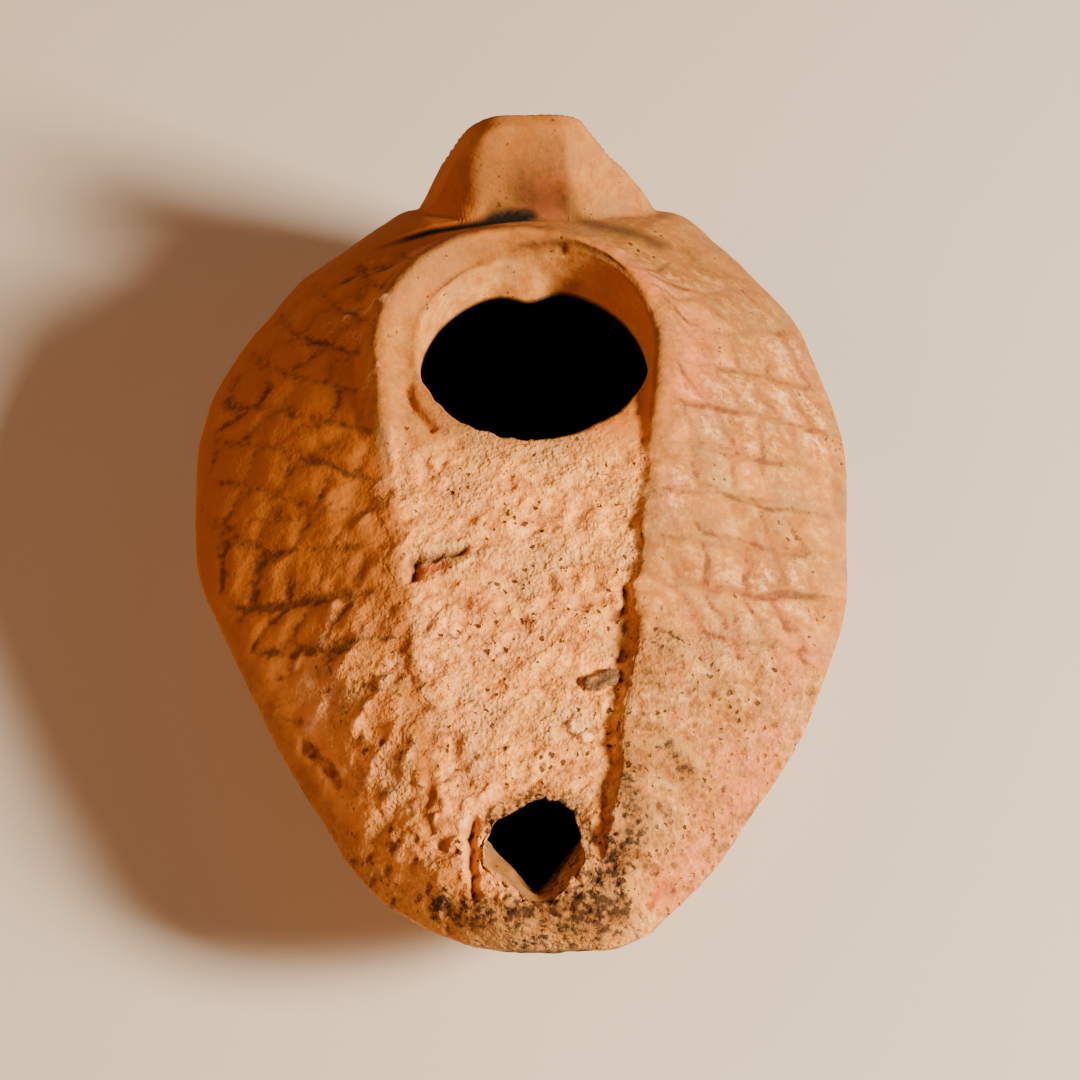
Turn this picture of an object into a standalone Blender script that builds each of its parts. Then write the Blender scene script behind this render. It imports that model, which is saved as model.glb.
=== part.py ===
"""Mould-made terracotta oil lamp with a channel nozzle.

One fired clay shell, hollow inside, with a filling hole in the ring at its top, a channel that runs
down to the wick hole, a tongue handle at the back and a low almond foot. It stands on z = 0, with the
nozzle at -Y and the handle at +Y. Units are metres; the named sizes are in millimetres.
"""

import bmesh
import bpy
import numpy as np

MM = 0.001

# A plan outline is the convex hull of circles, each (centre x, centre y, radius).
RIM = [(0.0, 10.2, 33.0), (-11.8, 1.8, 21.0), (6.5, -2.6, 26.0), (1.2, -25.0, 21.2),
       (-11.0, 41.0, 3.9), (0.3, 41.0, 5.2), (14.7, 40.4, 4.4), (10.5, 21.0, 19.8),
       (-13.8, -19.7, 10.6), (6.8, -36.7, 9.2), (12.8, -15.3, 16.1), (-18.7, 31.3, 6.0), (17.4, 33.7, 6.6)]
KEYHOLE = [(-0.3, 16.8, 14.3), (3.2, -13.0, 8.2), (-3.9, -9.0, 8.2), (0.5, -36.0, 8.0)]
FOOT = [(0.0, 9.0, 15.0), (0.6, -19.0, 4.0)]
CAVITY_RIM = [(0.0, 10.2, 28.7), (-11.8, 1.8, 16.7), (6.5, -2.6, 21.7), (1.2, -25.0, 16.9)]

# Heights
FOOT_HEIGHT = 1.4
RIM_HEIGHT = 18.0
RIM_BAND = 1.6
CHANNEL_BACK = 28.6
CHANNEL_FRONT = 22.6
CHANNEL_LEVEL_Y = 8.0
CHANNEL_RUN = 48.0
CHANNEL_CURVE = 1.2
RING_CREST = 2.4
RIDGE_CREST = 0.7
RING_START_Y = 2.0
RING_FULL_Y = 13.0

# Shape of the moulding that runs round the ring and down both sides of the channel
CREST_OUTER = 1.4
CREST_INNER = 1.8

# Fullness of the two half moulds: the power that bends each profile
BOWL_FULLNESS = 1.75
SHOULDER_FULLNESS = 1.3

# Walls
WALL = 4.3
FLOOR_WALL = 4.6
FLOOR_INSET = 1.0
CAVITY_DROP = 1.0

# Openings
FILLING_HOLE = [(1.2, 17.9, 11.7)]
WICK_THROAT = [(1.1, -34.4, 4.6), (1.4, -39.2, 0.7)]
WICK_MOUTH = [(2.5, -35.7, 2.9), (1.0, -37.8, 4.1), (3.1, -38.8, 2.9), (2.0, -41.3, 2.1)]
WICK_MOUTH_Y = -37.0
THROAT_REACH = 4.0
CUTTER_RISE = 2.0

# Tongue handle, set on the back of the ring
HANDLE_TOP = 34.8
HANDLE_MIDDLE = 0.3
HANDLE_LEFT_HALF = 5.2
HANDLE_RIGHT_HALF = 5.2
HANDLE_LEFT_FLARE = 6.3
HANDLE_RIGHT_FLARE = 9.6
HANDLE_LEFT_POWER = 1.0
HANDLE_RIGHT_POWER = 1.35
HANDLE_BACK_Y = 46.2
HANDLE_BACK_LEAN = 2.3
HANDLE_FACE_TOP_Y = 41.5
HANDLE_FACE_SLOPE = 0.4
HANDLE_CORNER = 1.6

# Fineness
POINTS = 96
BOWL_STEPS = 7
SHOULDER_STEPS = 6
HANDLE_STEPS = 9
FLOOR_SHARES = (1.0, 0.7, 0.4, 0.1)
CEILING_SHARES = (0.6, 0.1)
EDGE_ON = 0.001

CLAY_COLOUR = (0.64, 0.36, 0.19, 1.0)


def reach(circles, angles):
    """Greatest distance of the circles' hull along each direction (its support function)."""
    return np.max([x * np.cos(angles) + y * np.sin(angles) + r for x, y, r in circles], axis=0)


NORMALS = np.linspace(0.0, 2.0 * np.pi, 720, endpoint=False)
RAYS = np.linspace(0.0, 2.0 * np.pi, POINTS, endpoint=False)
RIM_REACH = reach(RIM, NORMALS)
KEYHOLE_REACH = reach(KEYHOLE, NORMALS)
FOOT_REACH = reach(FOOT, NORMALS)
CAVITY_REACH = reach(CAVITY_RIM, NORMALS)


def outline(reaches, centre=(0.0, 0.0)):
    """Plan points of a hull, where rays from the centre meet it.

    A ray leaves a convex shape at its first supporting line, so its length is the least
    reach / cos(angle between ray and normal).
    """
    reaches = reaches - centre[0] * np.cos(NORMALS) - centre[1] * np.sin(NORMALS)
    facing = np.cos(RAYS[:, None] - NORMALS[None, :])
    length = np.min(np.where(facing > EDGE_ON, reaches / np.maximum(facing, EDGE_ON), np.inf), axis=1)
    return np.stack([centre[0] + length * np.cos(RAYS), centre[1] + length * np.sin(RAYS)], axis=1)


def ramp(values, start, end):
    """Smooth step from 0 at start to 1 at end."""
    t = np.clip((values - start) / (end - start), 0.0, 1.0)
    return t * t * (3.0 - 2.0 * t)


def channel_height(y):
    """Height of the channel floor: level inside the ring, then falling in a soft curve to the nozzle."""
    share = np.maximum((CHANNEL_LEVEL_Y - y) / CHANNEL_RUN, 0.0)
    return CHANNEL_BACK - (CHANNEL_BACK - CHANNEL_FRONT) * share ** CHANNEL_CURVE


def crest_height(y):
    """Height of the moulding's crest: a low ridge along the channel that swells into the ring."""
    return channel_height(y) + RIDGE_CREST + (RING_CREST - RIDGE_CREST) * ramp(y, RING_START_Y, RING_FULL_Y)


def section(points, heights):
    """Plan points and their heights as one loop of points."""
    return np.column_stack([points, np.broadcast_to(heights, len(points))])


def make_object(name, mesh_data, collection):
    """New object for a bmesh, in a collection."""
    mesh = bpy.data.meshes.new(name)
    mesh_data.to_mesh(mesh)
    mesh_data.free()
    made = bpy.data.objects.new(name, mesh)
    collection.objects.link(made)
    return made


def loft(name, sections, collection):
    """Closed solid through loops of points, listed from the lowest to the highest."""
    solid = bmesh.new()
    loops = [[solid.verts.new(point * MM) for point in loop] for loop in sections]
    for lower, upper in zip(loops, loops[1:]):
        for i in range(POINTS):
            j = (i + 1) % POINTS
            solid.faces.new((lower[i], lower[j], upper[j], upper[i]))
    solid.faces.new(reversed(loops[0]))
    solid.faces.new(loops[-1])
    bmesh.ops.triangulate(solid, faces=[f for f in solid.faces if len(f.verts) > 4])
    return make_object(name, solid, collection)


def body_sections():
    """Outside of the lamp: foot, bowl, rim, shoulder, moulding and channel floor."""
    foot = outline(FOOT_REACH)
    sections = [section(foot, 0.0)]
    for share in np.linspace(0.0, 1.0, BOWL_STEPS):
        points = outline(FOOT_REACH + (RIM_REACH - FOOT_REACH) * share)
        rise = (RIM_HEIGHT - RIM_BAND / 2 - FOOT_HEIGHT) * share ** BOWL_FULLNESS
        sections.append(section(points, FOOT_HEIGHT + rise))
    moulding = outline(KEYHOLE_REACH + CREST_OUTER)
    shoulder_top = channel_height(moulding[:, 1])
    for share in np.linspace(1.0, 0.0, SHOULDER_STEPS):
        points = outline(KEYHOLE_REACH + CREST_OUTER + (RIM_REACH - KEYHOLE_REACH - CREST_OUTER) * share)
        base = RIM_HEIGHT + RIM_BAND / 2
        sections.append(section(points, base + (shoulder_top - base) * (1.0 - share ** SHOULDER_FULLNESS)))
    crest = outline(KEYHOLE_REACH)
    sections.append(section(crest, crest_height(crest[:, 1])))
    inner = outline(KEYHOLE_REACH - CREST_INNER)
    for share in FLOOR_SHARES:
        sections.append(section(inner * share, channel_height(inner[:, 1] * share)))
    return sections


def cavity_sections():
    """Inside of the shell: its own outlines, drawn in by the wall."""
    floor_reach = FOOT_REACH - FLOOR_INSET
    sections = [section(outline(floor_reach), FLOOR_WALL)]
    for share in np.linspace(0.25, 1.0, BOWL_STEPS - 2):
        points = outline(floor_reach + (CAVITY_REACH - floor_reach) * share)
        rise = (RIM_HEIGHT - CAVITY_DROP - FLOOR_WALL) * share ** BOWL_FULLNESS
        sections.append(section(points, FLOOR_WALL + rise))
    ceiling_reach = KEYHOLE_REACH - WALL / 2
    ceiling = outline(ceiling_reach)
    ceiling_height = channel_height(ceiling[:, 1]) - WALL
    for share in np.linspace(1.0, 0.0, SHOULDER_STEPS - 2):
        points = outline(ceiling_reach + (CAVITY_REACH - ceiling_reach) * share)
        lift = (ceiling_height - RIM_HEIGHT) * (1.0 - share ** SHOULDER_FULLNESS)
        sections.append(section(points, RIM_HEIGHT + lift))
    for share in CEILING_SHARES:
        sections.append(section(ceiling * share, channel_height(ceiling[:, 1] * share) - WALL))
    return sections


def handle_sections():
    """Tongue handle: a block that leans in towards its top and widens to the rim below."""
    sections = []
    for height in np.linspace(RIM_HEIGHT, HANDLE_TOP - HANDLE_CORNER / 2, HANDLE_STEPS):
        drop = (HANDLE_TOP - height) / (HANDLE_TOP - RIM_HEIGHT)
        left = HANDLE_LEFT_HALF + HANDLE_LEFT_FLARE * drop ** HANDLE_LEFT_POWER
        right = HANDLE_RIGHT_HALF + HANDLE_RIGHT_FLARE * drop ** HANDLE_RIGHT_POWER
        front = HANDLE_FACE_TOP_Y - HANDLE_FACE_SLOPE * (HANDLE_TOP - height)
        back = HANDLE_BACK_Y - HANDLE_BACK_LEAN * (1.0 - drop)
        sections.append(handle_section(left, right, front, back, height))
    rounding = HANDLE_CORNER / 2
    top = handle_section(HANDLE_LEFT_HALF - rounding, HANDLE_RIGHT_HALF - rounding,
                         HANDLE_FACE_TOP_Y + rounding, HANDLE_BACK_Y - HANDLE_BACK_LEAN - rounding, HANDLE_TOP)
    return sections + [top]


def handle_section(left, right, front, back, height):
    """Loop round four corner circles at one height of the handle."""
    sides = (HANDLE_MIDDLE - left + HANDLE_CORNER, HANDLE_MIDDLE + right - HANDLE_CORNER)
    corners = [(x, y, HANDLE_CORNER) for x in sides for y in (front + HANDLE_CORNER, back - HANDLE_CORNER)]
    return section(outline(reach(corners, NORMALS), (HANDLE_MIDDLE, (front + back) / 2)), height)


def hole_sections(*levels):
    """Hole through hulls of circles, each given with its height, from the lowest to the highest."""
    centre = levels[0][0][0][:2]
    return [section(outline(reach(circles, NORMALS), centre), height) for circles, height in levels]


def join(target, other, operation):
    """Boolean modifier on the target."""
    modifier = target.modifiers.new(other.name, "BOOLEAN")
    modifier.operation = operation
    modifier.solver = "EXACT"
    modifier.object = other
    other.hide_render = True
    other.display_type = "WIRE"


def clay():
    """Unglazed fired clay."""
    material = bpy.data.materials.new("terracotta")
    material.use_nodes = True
    shader = material.node_tree.nodes["Principled BSDF"]
    shader.inputs["Base Color"].default_value = CLAY_COLOUR
    shader.inputs["Roughness"].default_value = 0.9
    shader.inputs["Metallic"].default_value = 0.0
    return material


def main():
    for old in list(bpy.data.objects):
        bpy.data.objects.remove(old, do_unlink=True)
    lamp_parts = bpy.data.collections.new("oil_lamp")
    cutters = bpy.data.collections.new("cutters")
    bpy.context.scene.collection.children.link(lamp_parts)
    bpy.context.scene.collection.children.link(cutters)

    lamp = loft("lamp", body_sections(), lamp_parts)
    join(lamp, loft("handle_block", handle_sections(), cutters), "UNION")
    join(lamp, loft("cavity", cavity_sections(), cutters), "DIFFERENCE")
    filling = hole_sections((FILLING_HOLE, RIM_HEIGHT), (FILLING_HOLE, RIM_HEIGHT * 2))
    join(lamp, loft("filling_hole", filling, cutters), "DIFFERENCE")
    mouth = float(channel_height(WICK_MOUTH_Y))
    wick = hole_sections((WICK_THROAT, mouth - WALL - THROAT_REACH), (WICK_THROAT, mouth - WALL),
                         (WICK_MOUTH, mouth), (WICK_MOUTH, mouth + CUTTER_RISE))
    join(lamp, loft("wick_hole", wick, cutters), "DIFFERENCE")
    lamp.data.materials.append(clay())


main()
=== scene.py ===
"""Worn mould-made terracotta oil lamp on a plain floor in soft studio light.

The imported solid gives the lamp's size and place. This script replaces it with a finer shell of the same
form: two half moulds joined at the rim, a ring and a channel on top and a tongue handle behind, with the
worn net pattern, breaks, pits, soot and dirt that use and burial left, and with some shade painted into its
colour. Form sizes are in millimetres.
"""

from __future__ import annotations

import logging
from dataclasses import dataclass, field
from enum import Enum

import bpy
import numpy as np
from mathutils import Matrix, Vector


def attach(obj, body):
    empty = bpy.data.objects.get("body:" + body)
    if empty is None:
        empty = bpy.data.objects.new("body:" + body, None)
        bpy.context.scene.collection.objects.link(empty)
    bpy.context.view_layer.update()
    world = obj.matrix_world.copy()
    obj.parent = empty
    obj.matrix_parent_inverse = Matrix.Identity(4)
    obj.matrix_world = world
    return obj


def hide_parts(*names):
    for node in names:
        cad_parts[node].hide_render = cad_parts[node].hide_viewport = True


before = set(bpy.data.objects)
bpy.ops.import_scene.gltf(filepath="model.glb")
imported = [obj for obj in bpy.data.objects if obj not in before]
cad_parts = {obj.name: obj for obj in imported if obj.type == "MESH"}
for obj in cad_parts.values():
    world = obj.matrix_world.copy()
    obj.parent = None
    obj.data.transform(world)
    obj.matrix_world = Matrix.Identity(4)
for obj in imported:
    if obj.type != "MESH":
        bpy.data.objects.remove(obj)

LOG = logging.getLogger("oil_lamp")
MM = 0.001
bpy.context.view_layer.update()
BODY = "root"
NODE = "lamp"

# Inputs of a Map Range node, then the inputs and the output of a Mix node that is set to colours.
VALUE, FROM_MIN, FROM_MAX, TO_MIN, TO_MAX = range(5)
SHARE, UNDER, OVER, MIXED = 0, 6, 7, 2

Points = np.ndarray
Stroke = tuple[tuple[float, float], ...]
Socket = bpy.types.NodeSocket
Tree = bpy.types.NodeTree


# ---------------------------------------------------------------------------------------------------
# Small tools


def ramp(values: np.ndarray, start: float, end: float) -> np.ndarray:
    """Smooth step: 3t^2 - 2t^3, with t the share of the way from start to end."""
    t = np.clip((values - start) / (end - start), 0.0, 1.0)
    return t * t * (3.0 - 2.0 * t)


def mix(low: np.ndarray | float, high: np.ndarray | float, share: np.ndarray | float) -> np.ndarray | float:
    """Straight mix of two values."""
    return low + (high - low) * share


def soft_max(one: np.ndarray, two: np.ndarray, radius: float) -> np.ndarray:
    """Greater of two heights, with the crease between them filled over a radius.

    max(a, b) + h^2 r / 4, with h = 1 - |a - b| / r where that is above zero.
    """
    near = np.clip(1.0 - np.abs(one - two) / radius, 0.0, None)
    return np.maximum(one, two) + near * near * radius / 4.0


def soft_min(one: np.ndarray, two: np.ndarray, radius: float) -> np.ndarray:
    """Lesser of two heights, with the edge between them rounded over a radius."""
    return -soft_max(-one, -two, radius)


def bell(distance: np.ndarray, half_width: np.ndarray | float) -> np.ndarray:
    """Bell curve exp(-(distance / half width)^2): one at no distance, falling off on both sides."""
    return np.exp(-((distance / half_width) ** 2))


def lattice_noise(points: Points, cell: float, seed: int) -> np.ndarray:
    """Smooth noise between -1 and 1, from random values at the corners of cubes.

    Each corner's value is a hash of its whole-number place, and the eight of them are mixed by the
    smooth step of the point's place in its cube.

    Args:
        points: places, in millimetres, with three columns.
        cell: side of a cube, in millimetres.
        seed: number that picks another noise.

    Returns:
        One value for each point.
    """
    place = points / cell + seed * 17.31
    corner = np.floor(place).astype(np.int64)
    share = place - corner
    share = share * share * (3.0 - 2.0 * share)
    total = np.zeros(len(points))
    for offset in np.ndindex(2, 2, 2):
        step = np.array(offset)
        at = corner + step
        key = at[:, 0] * 73856093 ^ at[:, 1] * 19349663 ^ at[:, 2] * 83492791 ^ (seed * 2654435761)
        key = (key ^ (key >> 13)) * 1274126177 & 0x7FFFFFFF
        value = (key ^ (key >> 11)) % 65536 / 32767.5 - 1.0
        total += value * np.prod(np.where(step, share, 1.0 - share), axis=1)
    return total


def rough_noise(points: Points, cell: float, octaves: int, seed: int) -> np.ndarray:
    """Sum of lattice noises, each at half the size and half the strength of the last.

    Args:
        points: places, in millimetres, with three columns.
        cell: side of the first noise's cubes.
        octaves: how many noises are summed.
        seed: number that picks another noise.

    Returns:
        One value for each point.
    """
    total = np.zeros(len(points))
    for octave in range(octaves):
        total += lattice_noise(points, cell / 2**octave, seed + octave) / 2**octave
    return total


def stroke_distance(x: np.ndarray, y: np.ndarray, stroke: Stroke) -> np.ndarray:
    """Distance in plan from each place to a line through a few points.

    For each run of the line, the place is dropped square onto the run, held between its ends, and
    the least distance of all runs is kept.

    Args:
        x: places across the lamp.
        y: places along it.
        stroke: the line's points, x and y of each.

    Returns:
        Distance of each place.
    """
    best = np.full(np.shape(x), np.inf)
    for (ax, ay), (bx, by) in zip(stroke, stroke[1:]):
        run = max((bx - ax) ** 2 + (by - ay) ** 2, 1e-9)
        share = np.clip(((x - ax) * (bx - ax) + (y - ay) * (by - ay)) / run, 0.0, 1.0)
        np.minimum(best, np.hypot(x - ax - share * (bx - ax), y - ay - share * (by - ay)), out=best)
    return best


def lengths_along(path: Points) -> np.ndarray:
    """Length of a path from its start to each of its points."""
    return np.concatenate([[0.0], np.cumsum(np.linalg.norm(np.diff(path, axis=0), axis=1))])


def even_stops(path: Points, counts: list[int], between: np.ndarray | tuple = ()) -> Points:
    """Points along a path, evenly spaced between lengths at which it must have one.

    Args:
        path: points of the path, two or three columns.
        counts: number of steps between one such length and the next.
        between: the lengths, apart from the path's start and end.

    Returns:
        The sum of the counts, plus one, points.
    """
    lengths = lengths_along(path)
    stops = [0.0, *between, lengths[-1]]
    wanted = [np.linspace(a, b, n, endpoint=False) for a, b, n in zip(stops, stops[1:], counts)]
    wanted = np.concatenate([*wanted, [stops[-1]]])
    return np.stack([np.interp(wanted, lengths, column) for column in path.T], axis=1)


def spread_evenly(paths: Points, count: int) -> Points:
    """Shares out new points along many paths at once, evenly by length.

    Args:
        paths: array of points along a path, paths, and x, y, z.
        count: number of steps along each path.

    Returns:
        Array of count + 1 points, paths, and x, y, z.
    """
    steps = np.linalg.norm(np.diff(paths, axis=0), axis=2)
    lengths = np.concatenate([np.zeros((1, paths.shape[1])), np.cumsum(steps, axis=0)])
    lengths = lengths / lengths[-1]
    every = np.arange(paths.shape[1])
    rows = []
    for share in np.linspace(0.0, 1.0, count + 1):
        after = np.clip((lengths < share).sum(axis=0), 1, len(paths) - 1)
        start, end = lengths[after - 1, every], lengths[after, every]
        part = ((share - start) / (end - start))[:, None]
        rows.append(mix(paths[after - 1, every], paths[after, every], part))
    return np.stack(rows)


@dataclass(frozen=True)
class Hull:
    """Plan outline: the convex hull of circles, each (centre x, centre y, radius)."""

    circles: tuple[tuple[float, float, float], ...]
    directions: int = 720

    def angles(self) -> np.ndarray:
        """Directions that are sampled, counter-clockwise from the nozzle."""
        return np.linspace(-np.pi / 2, 1.5 * np.pi, self.directions, endpoint=False)

    def reach(self) -> np.ndarray:
        """Support function: greatest distance of the hull along each direction."""
        cos, sin = np.cos(self.angles()), np.sin(self.angles())
        return np.max([x * cos + y * sin + r for x, y, r in self.circles], axis=0)

    def grown(self, by: float) -> Hull:
        """Outline moved outwards by a distance."""
        return Hull(tuple((x, y, r + by) for x, y, r in self.circles), self.directions)

    def distance(self, x: np.ndarray, y: np.ndarray) -> np.ndarray:
        """Signed distance from the outline, below zero inside.

        A convex shape's distance is the greatest, over all directions, of how far the place lies
        beyond the supporting line of that direction.

        Args:
            x: places across the lamp.
            y: places along it.

        Returns:
            Distance of each place.
        """
        best = np.full(np.shape(x), -np.inf)
        for angle, reach in zip(self.angles()[::2], self.reach()[::2]):
            np.maximum(best, x * np.cos(angle) + y * np.sin(angle) - reach, out=best)
        return best

    def loop(self) -> Points:
        """Closed line of points round the outline, from its front-most point, evenly spaced.

        Each direction's point lies on the circle that reaches furthest along it.

        Returns:
            The points, with the first one again at the end.
        """
        angles = self.angles()
        cos, sin = np.cos(angles), np.sin(angles)
        circles = np.array(self.circles)
        reaches = circles[:, :1] * cos + circles[:, 1:2] * sin + circles[:, 2:]
        x, y, radius = circles[np.argmax(reaches, axis=0)].T
        points = np.stack([x + radius * cos, y + radius * sin], axis=1)
        points = np.concatenate([points, points[:1]])
        return even_stops(points, [4 * self.directions])

    def halves(self) -> tuple[Points, Points]:
        """Right half, front to back, and left half, back to front, parted at the middle of the back.

        Returns:
            The two halves, which share the point at the back.
        """
        loop = self.loop()
        middle = np.mean([x for x, _, _ in self.circles])
        back = int(np.argmax(loop[:, 1] - 0.02 * np.abs(loop[:, 0] - middle)))
        return loop[: back + 1], loop[back:]


# ---------------------------------------------------------------------------------------------------
# Form


@dataclass(frozen=True)
class LampForm:
    """Worn form of the lamp: outlines in plan and the height of its skin at each place.

    Nozzle at -Y, handle at +Y, foot on z = 0.
    """

    rim: Hull = Hull(((-0.1, 10.2, 33.0), (-11.8, 1.8, 21.0), (6.5, -2.6, 26.0), (1.2, -25.0, 21.2),
                      (-11.0, 41.0, 3.9), (14.7, 40.4, 4.4), (0.3, 41.0, 5.2), (10.5, 21.0, 19.8),
                      (-13.8, -19.7, 10.6), (6.8, -36.7, 9.2), (12.8, -15.3, 16.1), (-18.7, 31.3, 6.0),
                      (17.4, 33.7, 6.6)))
    inner_rim: Hull = Hull(((-0.1, 10.2, 28.7), (-11.8, 1.8, 16.7), (6.5, -2.6, 21.7), (1.2, -25.0, 16.9)))
    inner_keyhole: Hull = Hull(((0.4, 17.4, 13.2), (1.2, -36.6, 4.6)))
    keyhole: Hull = Hull(((-0.3, 16.8, 14.3), (3.2, -13.0, 8.2), (-3.9, -9.0, 8.2), (0.5, -36.0, 8.0)))
    foot: Hull = Hull(((0.0, 9.0, 15.0), (0.6, -19.0, 4.0)))
    filling_hole: Hull = Hull(((0.9, 17.9, 11.7), (1.5, 17.9, 11.7)))
    filling_throat: Hull = Hull(((1.2, 16.8, 11.6),))
    wick_hole: Hull = Hull(((2.5, -35.7, 2.9), (1.0, -37.8, 4.1), (3.1, -38.8, 2.9), (2.0, -41.3, 2.1)))
    wick_throat: Hull = Hull(((1.1, -32.2, 5.0), (1.4, -39.5, 0.4)))

    rim_height: float = 18.0
    foot_height: float = 1.4
    channel_back: float = 28.6
    channel_front: float = 22.6
    wall: float = 4.3
    floor_wall: float = 4.6

    back_crest: float = 2.6
    left_crest: float = 2.0
    right_crest: float = 1.6
    right_ridge: float = 0.65
    front_ridge: float = 1.1
    wander: float = 0.3
    edge_radius: float = 2.0
    left_edge_radius: float = 0.9
    edge_wander: float = 0.8

    # Widths of the moulding's slopes: beside the channel, at its front, and the ring's left, right and back.
    inner_widths: tuple[float, ...] = (1.25, 0.9, 3.2, 2.0, 1.9)
    outer_widths: tuple[float, ...] = (3.2, 6.5, 2.4, 4.0, 4.5)

    handle_top: float = 34.8
    handle_middle: float = 0.3
    handle_half: tuple[float, float] = (5.2, 4.6)
    handle_back_half: tuple[float, float] = (5.2, 5.8)
    left_flare: float = 6.3
    right_flare: float = 9.2
    face_lean: float = 2.3
    handle_face_foot: tuple[float, float] = (38.0, 25.6)
    handle_face_top: float = 41.5
    handle_back_top: float = 43.9
    handle_back: float = 46.2
    flare_powers: tuple[float, float] = (1.05, 0.68)
    crown_dome: float = 0.01
    crown_fall: float = 0.13
    crown_flat: tuple[float, float] = (-1.8, 3.0)
    roundings: tuple[float, float, float] = (3.0, 1.8, 2.0)

    def floor(self, y: np.ndarray) -> np.ndarray:
        """Channel floor: level inside the ring, then falling in a soft curve to the nozzle."""
        fall = np.clip((8.0 - y) / 48.0, 0.0, 1.2) ** 1.2
        return self.channel_back - (self.channel_back - self.channel_front) * fall

    def shoulder(self, x: np.ndarray, y: np.ndarray) -> tuple[np.ndarray, np.ndarray, np.ndarray]:
        """Height of the smooth shoulder and floor, with the two distances that it is built from.

        With s the share of the way from the keyhole's crest to the rim, the height above the rim is
        (floor - rim) (1 - s^p)^0.86, which drops upright at the rim. The power p grows from 1.1 at the
        back to 1.55 at the nozzle, where the shoulder is fuller. The distance d from the crest counts
        as sqrt(d^2 + r^2) - r, which rounds the edge to a radius r, and noise makes the left one wander.

        Args:
            x: places across the lamp.
            y: places along it.

        Returns:
            Height, signed distance from the crest, and distance inside the rim.
        """
        beyond = self.keyhole.distance(x, y)
        inside = np.maximum(-self.rim.distance(x, y), 0.0)
        places = np.stack([x, y, np.zeros_like(x)], axis=1)
        worn = self.edge_wander * ramp(-x, 0.0, 8.0) * ramp(-y, -10.0, 0.0)
        out = np.maximum(beyond + worn * rough_noise(places, 3.2, 3, 97), 0.0)
        radius = mix(self.edge_radius, self.left_edge_radius, worn / self.edge_wander)
        out = np.hypot(out, radius) - radius
        share = np.clip(out / np.maximum(out + inside, 1e-6), 0.0, 1.0)
        fullness = mix(1.1, 1.55, ramp(-y, 6.0, 24.0))
        rise = (self.floor(y) - self.rim_height) * (1.0 - share**fullness) ** 0.86
        return self.rim_height + rise, beyond, inside

    def moulding(self, x: np.ndarray, y: np.ndarray, beyond: np.ndarray) -> np.ndarray:
        """Height added by the ring and the channel's two side ridges.

        The crest's height swells from the ridge's to the ring's as the channel opens into the ring,
        and it falls off on each side of the crest by a smooth step. The ring's inner slope is wide on
        the left and steep at the back and on the right, where the hole cuts it.

        Args:
            x: places across the lamp.
            y: places along it.
            beyond: signed distance from the crest line.

        Returns:
            Height above the shoulder and the floor.
        """
        to_right, to_back = ramp(x, -8.0, 8.0), ramp(y, 20.0, 29.0)
        to_front = ramp(-y, 12.0, 20.0)
        ridge = mix(self.right_ridge, self.front_ridge, to_front)
        ridge = ridge * ramp(x, -4.0, 4.0) * ramp(y, -40.0, -36.0)
        ring = mix(mix(self.left_crest, self.right_crest, to_right), self.back_crest, to_back)
        in_ring = ramp(y, 1.0, 13.0)
        crest = mix(ridge, ring, in_ring)
        inner, outer = (
            mix(mix(side, front, to_front), mix(mix(left, right, to_right), back, to_back), in_ring)
            for side, front, left, right, back in (self.inner_widths, self.outer_widths))
        places = np.stack([x, y, np.zeros_like(x)], axis=1)
        beyond = beyond + self.wander * rough_noise(places, 5.0, 3, 71) * (1.0 - 0.7 * in_ring)
        crest = crest * (1.0 + 0.3 * rough_noise(places, 3.5, 2, 83) * (1.0 - 0.7 * in_ring))
        fall = np.where(beyond < 0.0, ramp(-beyond / inner, 0.0, 1.0), ramp(beyond / outer, 0.0, 1.0))
        return crest * (1.0 - fall)

    def handle(self, x: np.ndarray, y: np.ndarray) -> np.ndarray:
        """Height of the tongue handle, far below the shoulder where there is none.

        It is the least of four sloping faces and a slightly domed top: a front face, a steep back
        face and two side faces that widen downwards, the right one more. Each side face also falls
        towards the front, so that the edge it shares with the front face stands upright. The
        roundings are those of the front edges, the crown's edge and the rear edge.

        Args:
            x: places across the lamp.
            y: places along it.

        Returns:
            Height at each place.
        """
        foot_y, foot_z = self.handle_face_foot
        front = foot_z + (y - foot_y) * (self.handle_top - foot_z) / (self.handle_face_top - foot_y)
        drop = self.handle_top - self.rim_height
        back_run = self.handle_back - self.handle_back_top
        back = self.handle_top + (self.handle_back_top - y) * drop / back_run
        off = x - self.handle_middle
        to_back = ramp(y, self.handle_face_top, self.handle_back_top)
        half = [mix(*pair, to_back) for pair in zip(self.handle_half, self.handle_back_half)]
        across = np.abs(off) - np.where(off < 0.0, *half)
        size = np.abs(across)
        left_power, right_power = self.flare_powers
        left, right = (size / self.left_flare) ** left_power, (size / self.right_flare) ** right_power
        fall = np.where(off < 0.0, left, right) * np.sign(across)
        side = self.handle_top - drop * fall - self.face_lean * np.maximum(self.handle_face_top - y, 0.0)
        crown = self.handle_top - self.crown_dome * off**2
        for beyond_flat in (self.crown_flat[0] - off, off - self.crown_flat[1]):
            crown = crown - self.crown_fall * np.maximum(beyond_flat, 0.0) ** 2
        upright, over_crown, to_rear = self.roundings
        top = soft_min(soft_min(front, side, upright), crown, over_crown)
        return soft_min(top, back, to_rear)

    def skin(self, x: np.ndarray, y: np.ndarray) -> np.ndarray:
        """Height of the outer skin above the foot, at each place inside the rim.

        Args:
            x: places across the lamp.
            y: places along it.

        Returns:
            Height at each place.
        """
        height, beyond, inside = self.shoulder(x, y)
        height = height + self.moulding(x, y, beyond)
        handle = self.handle(x, y)
        reach = np.minimum(inside * 2.0, 2.6)
        return np.where(y > 30.0, soft_max(height, handle, 1e-3 + reach), height)

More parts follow.
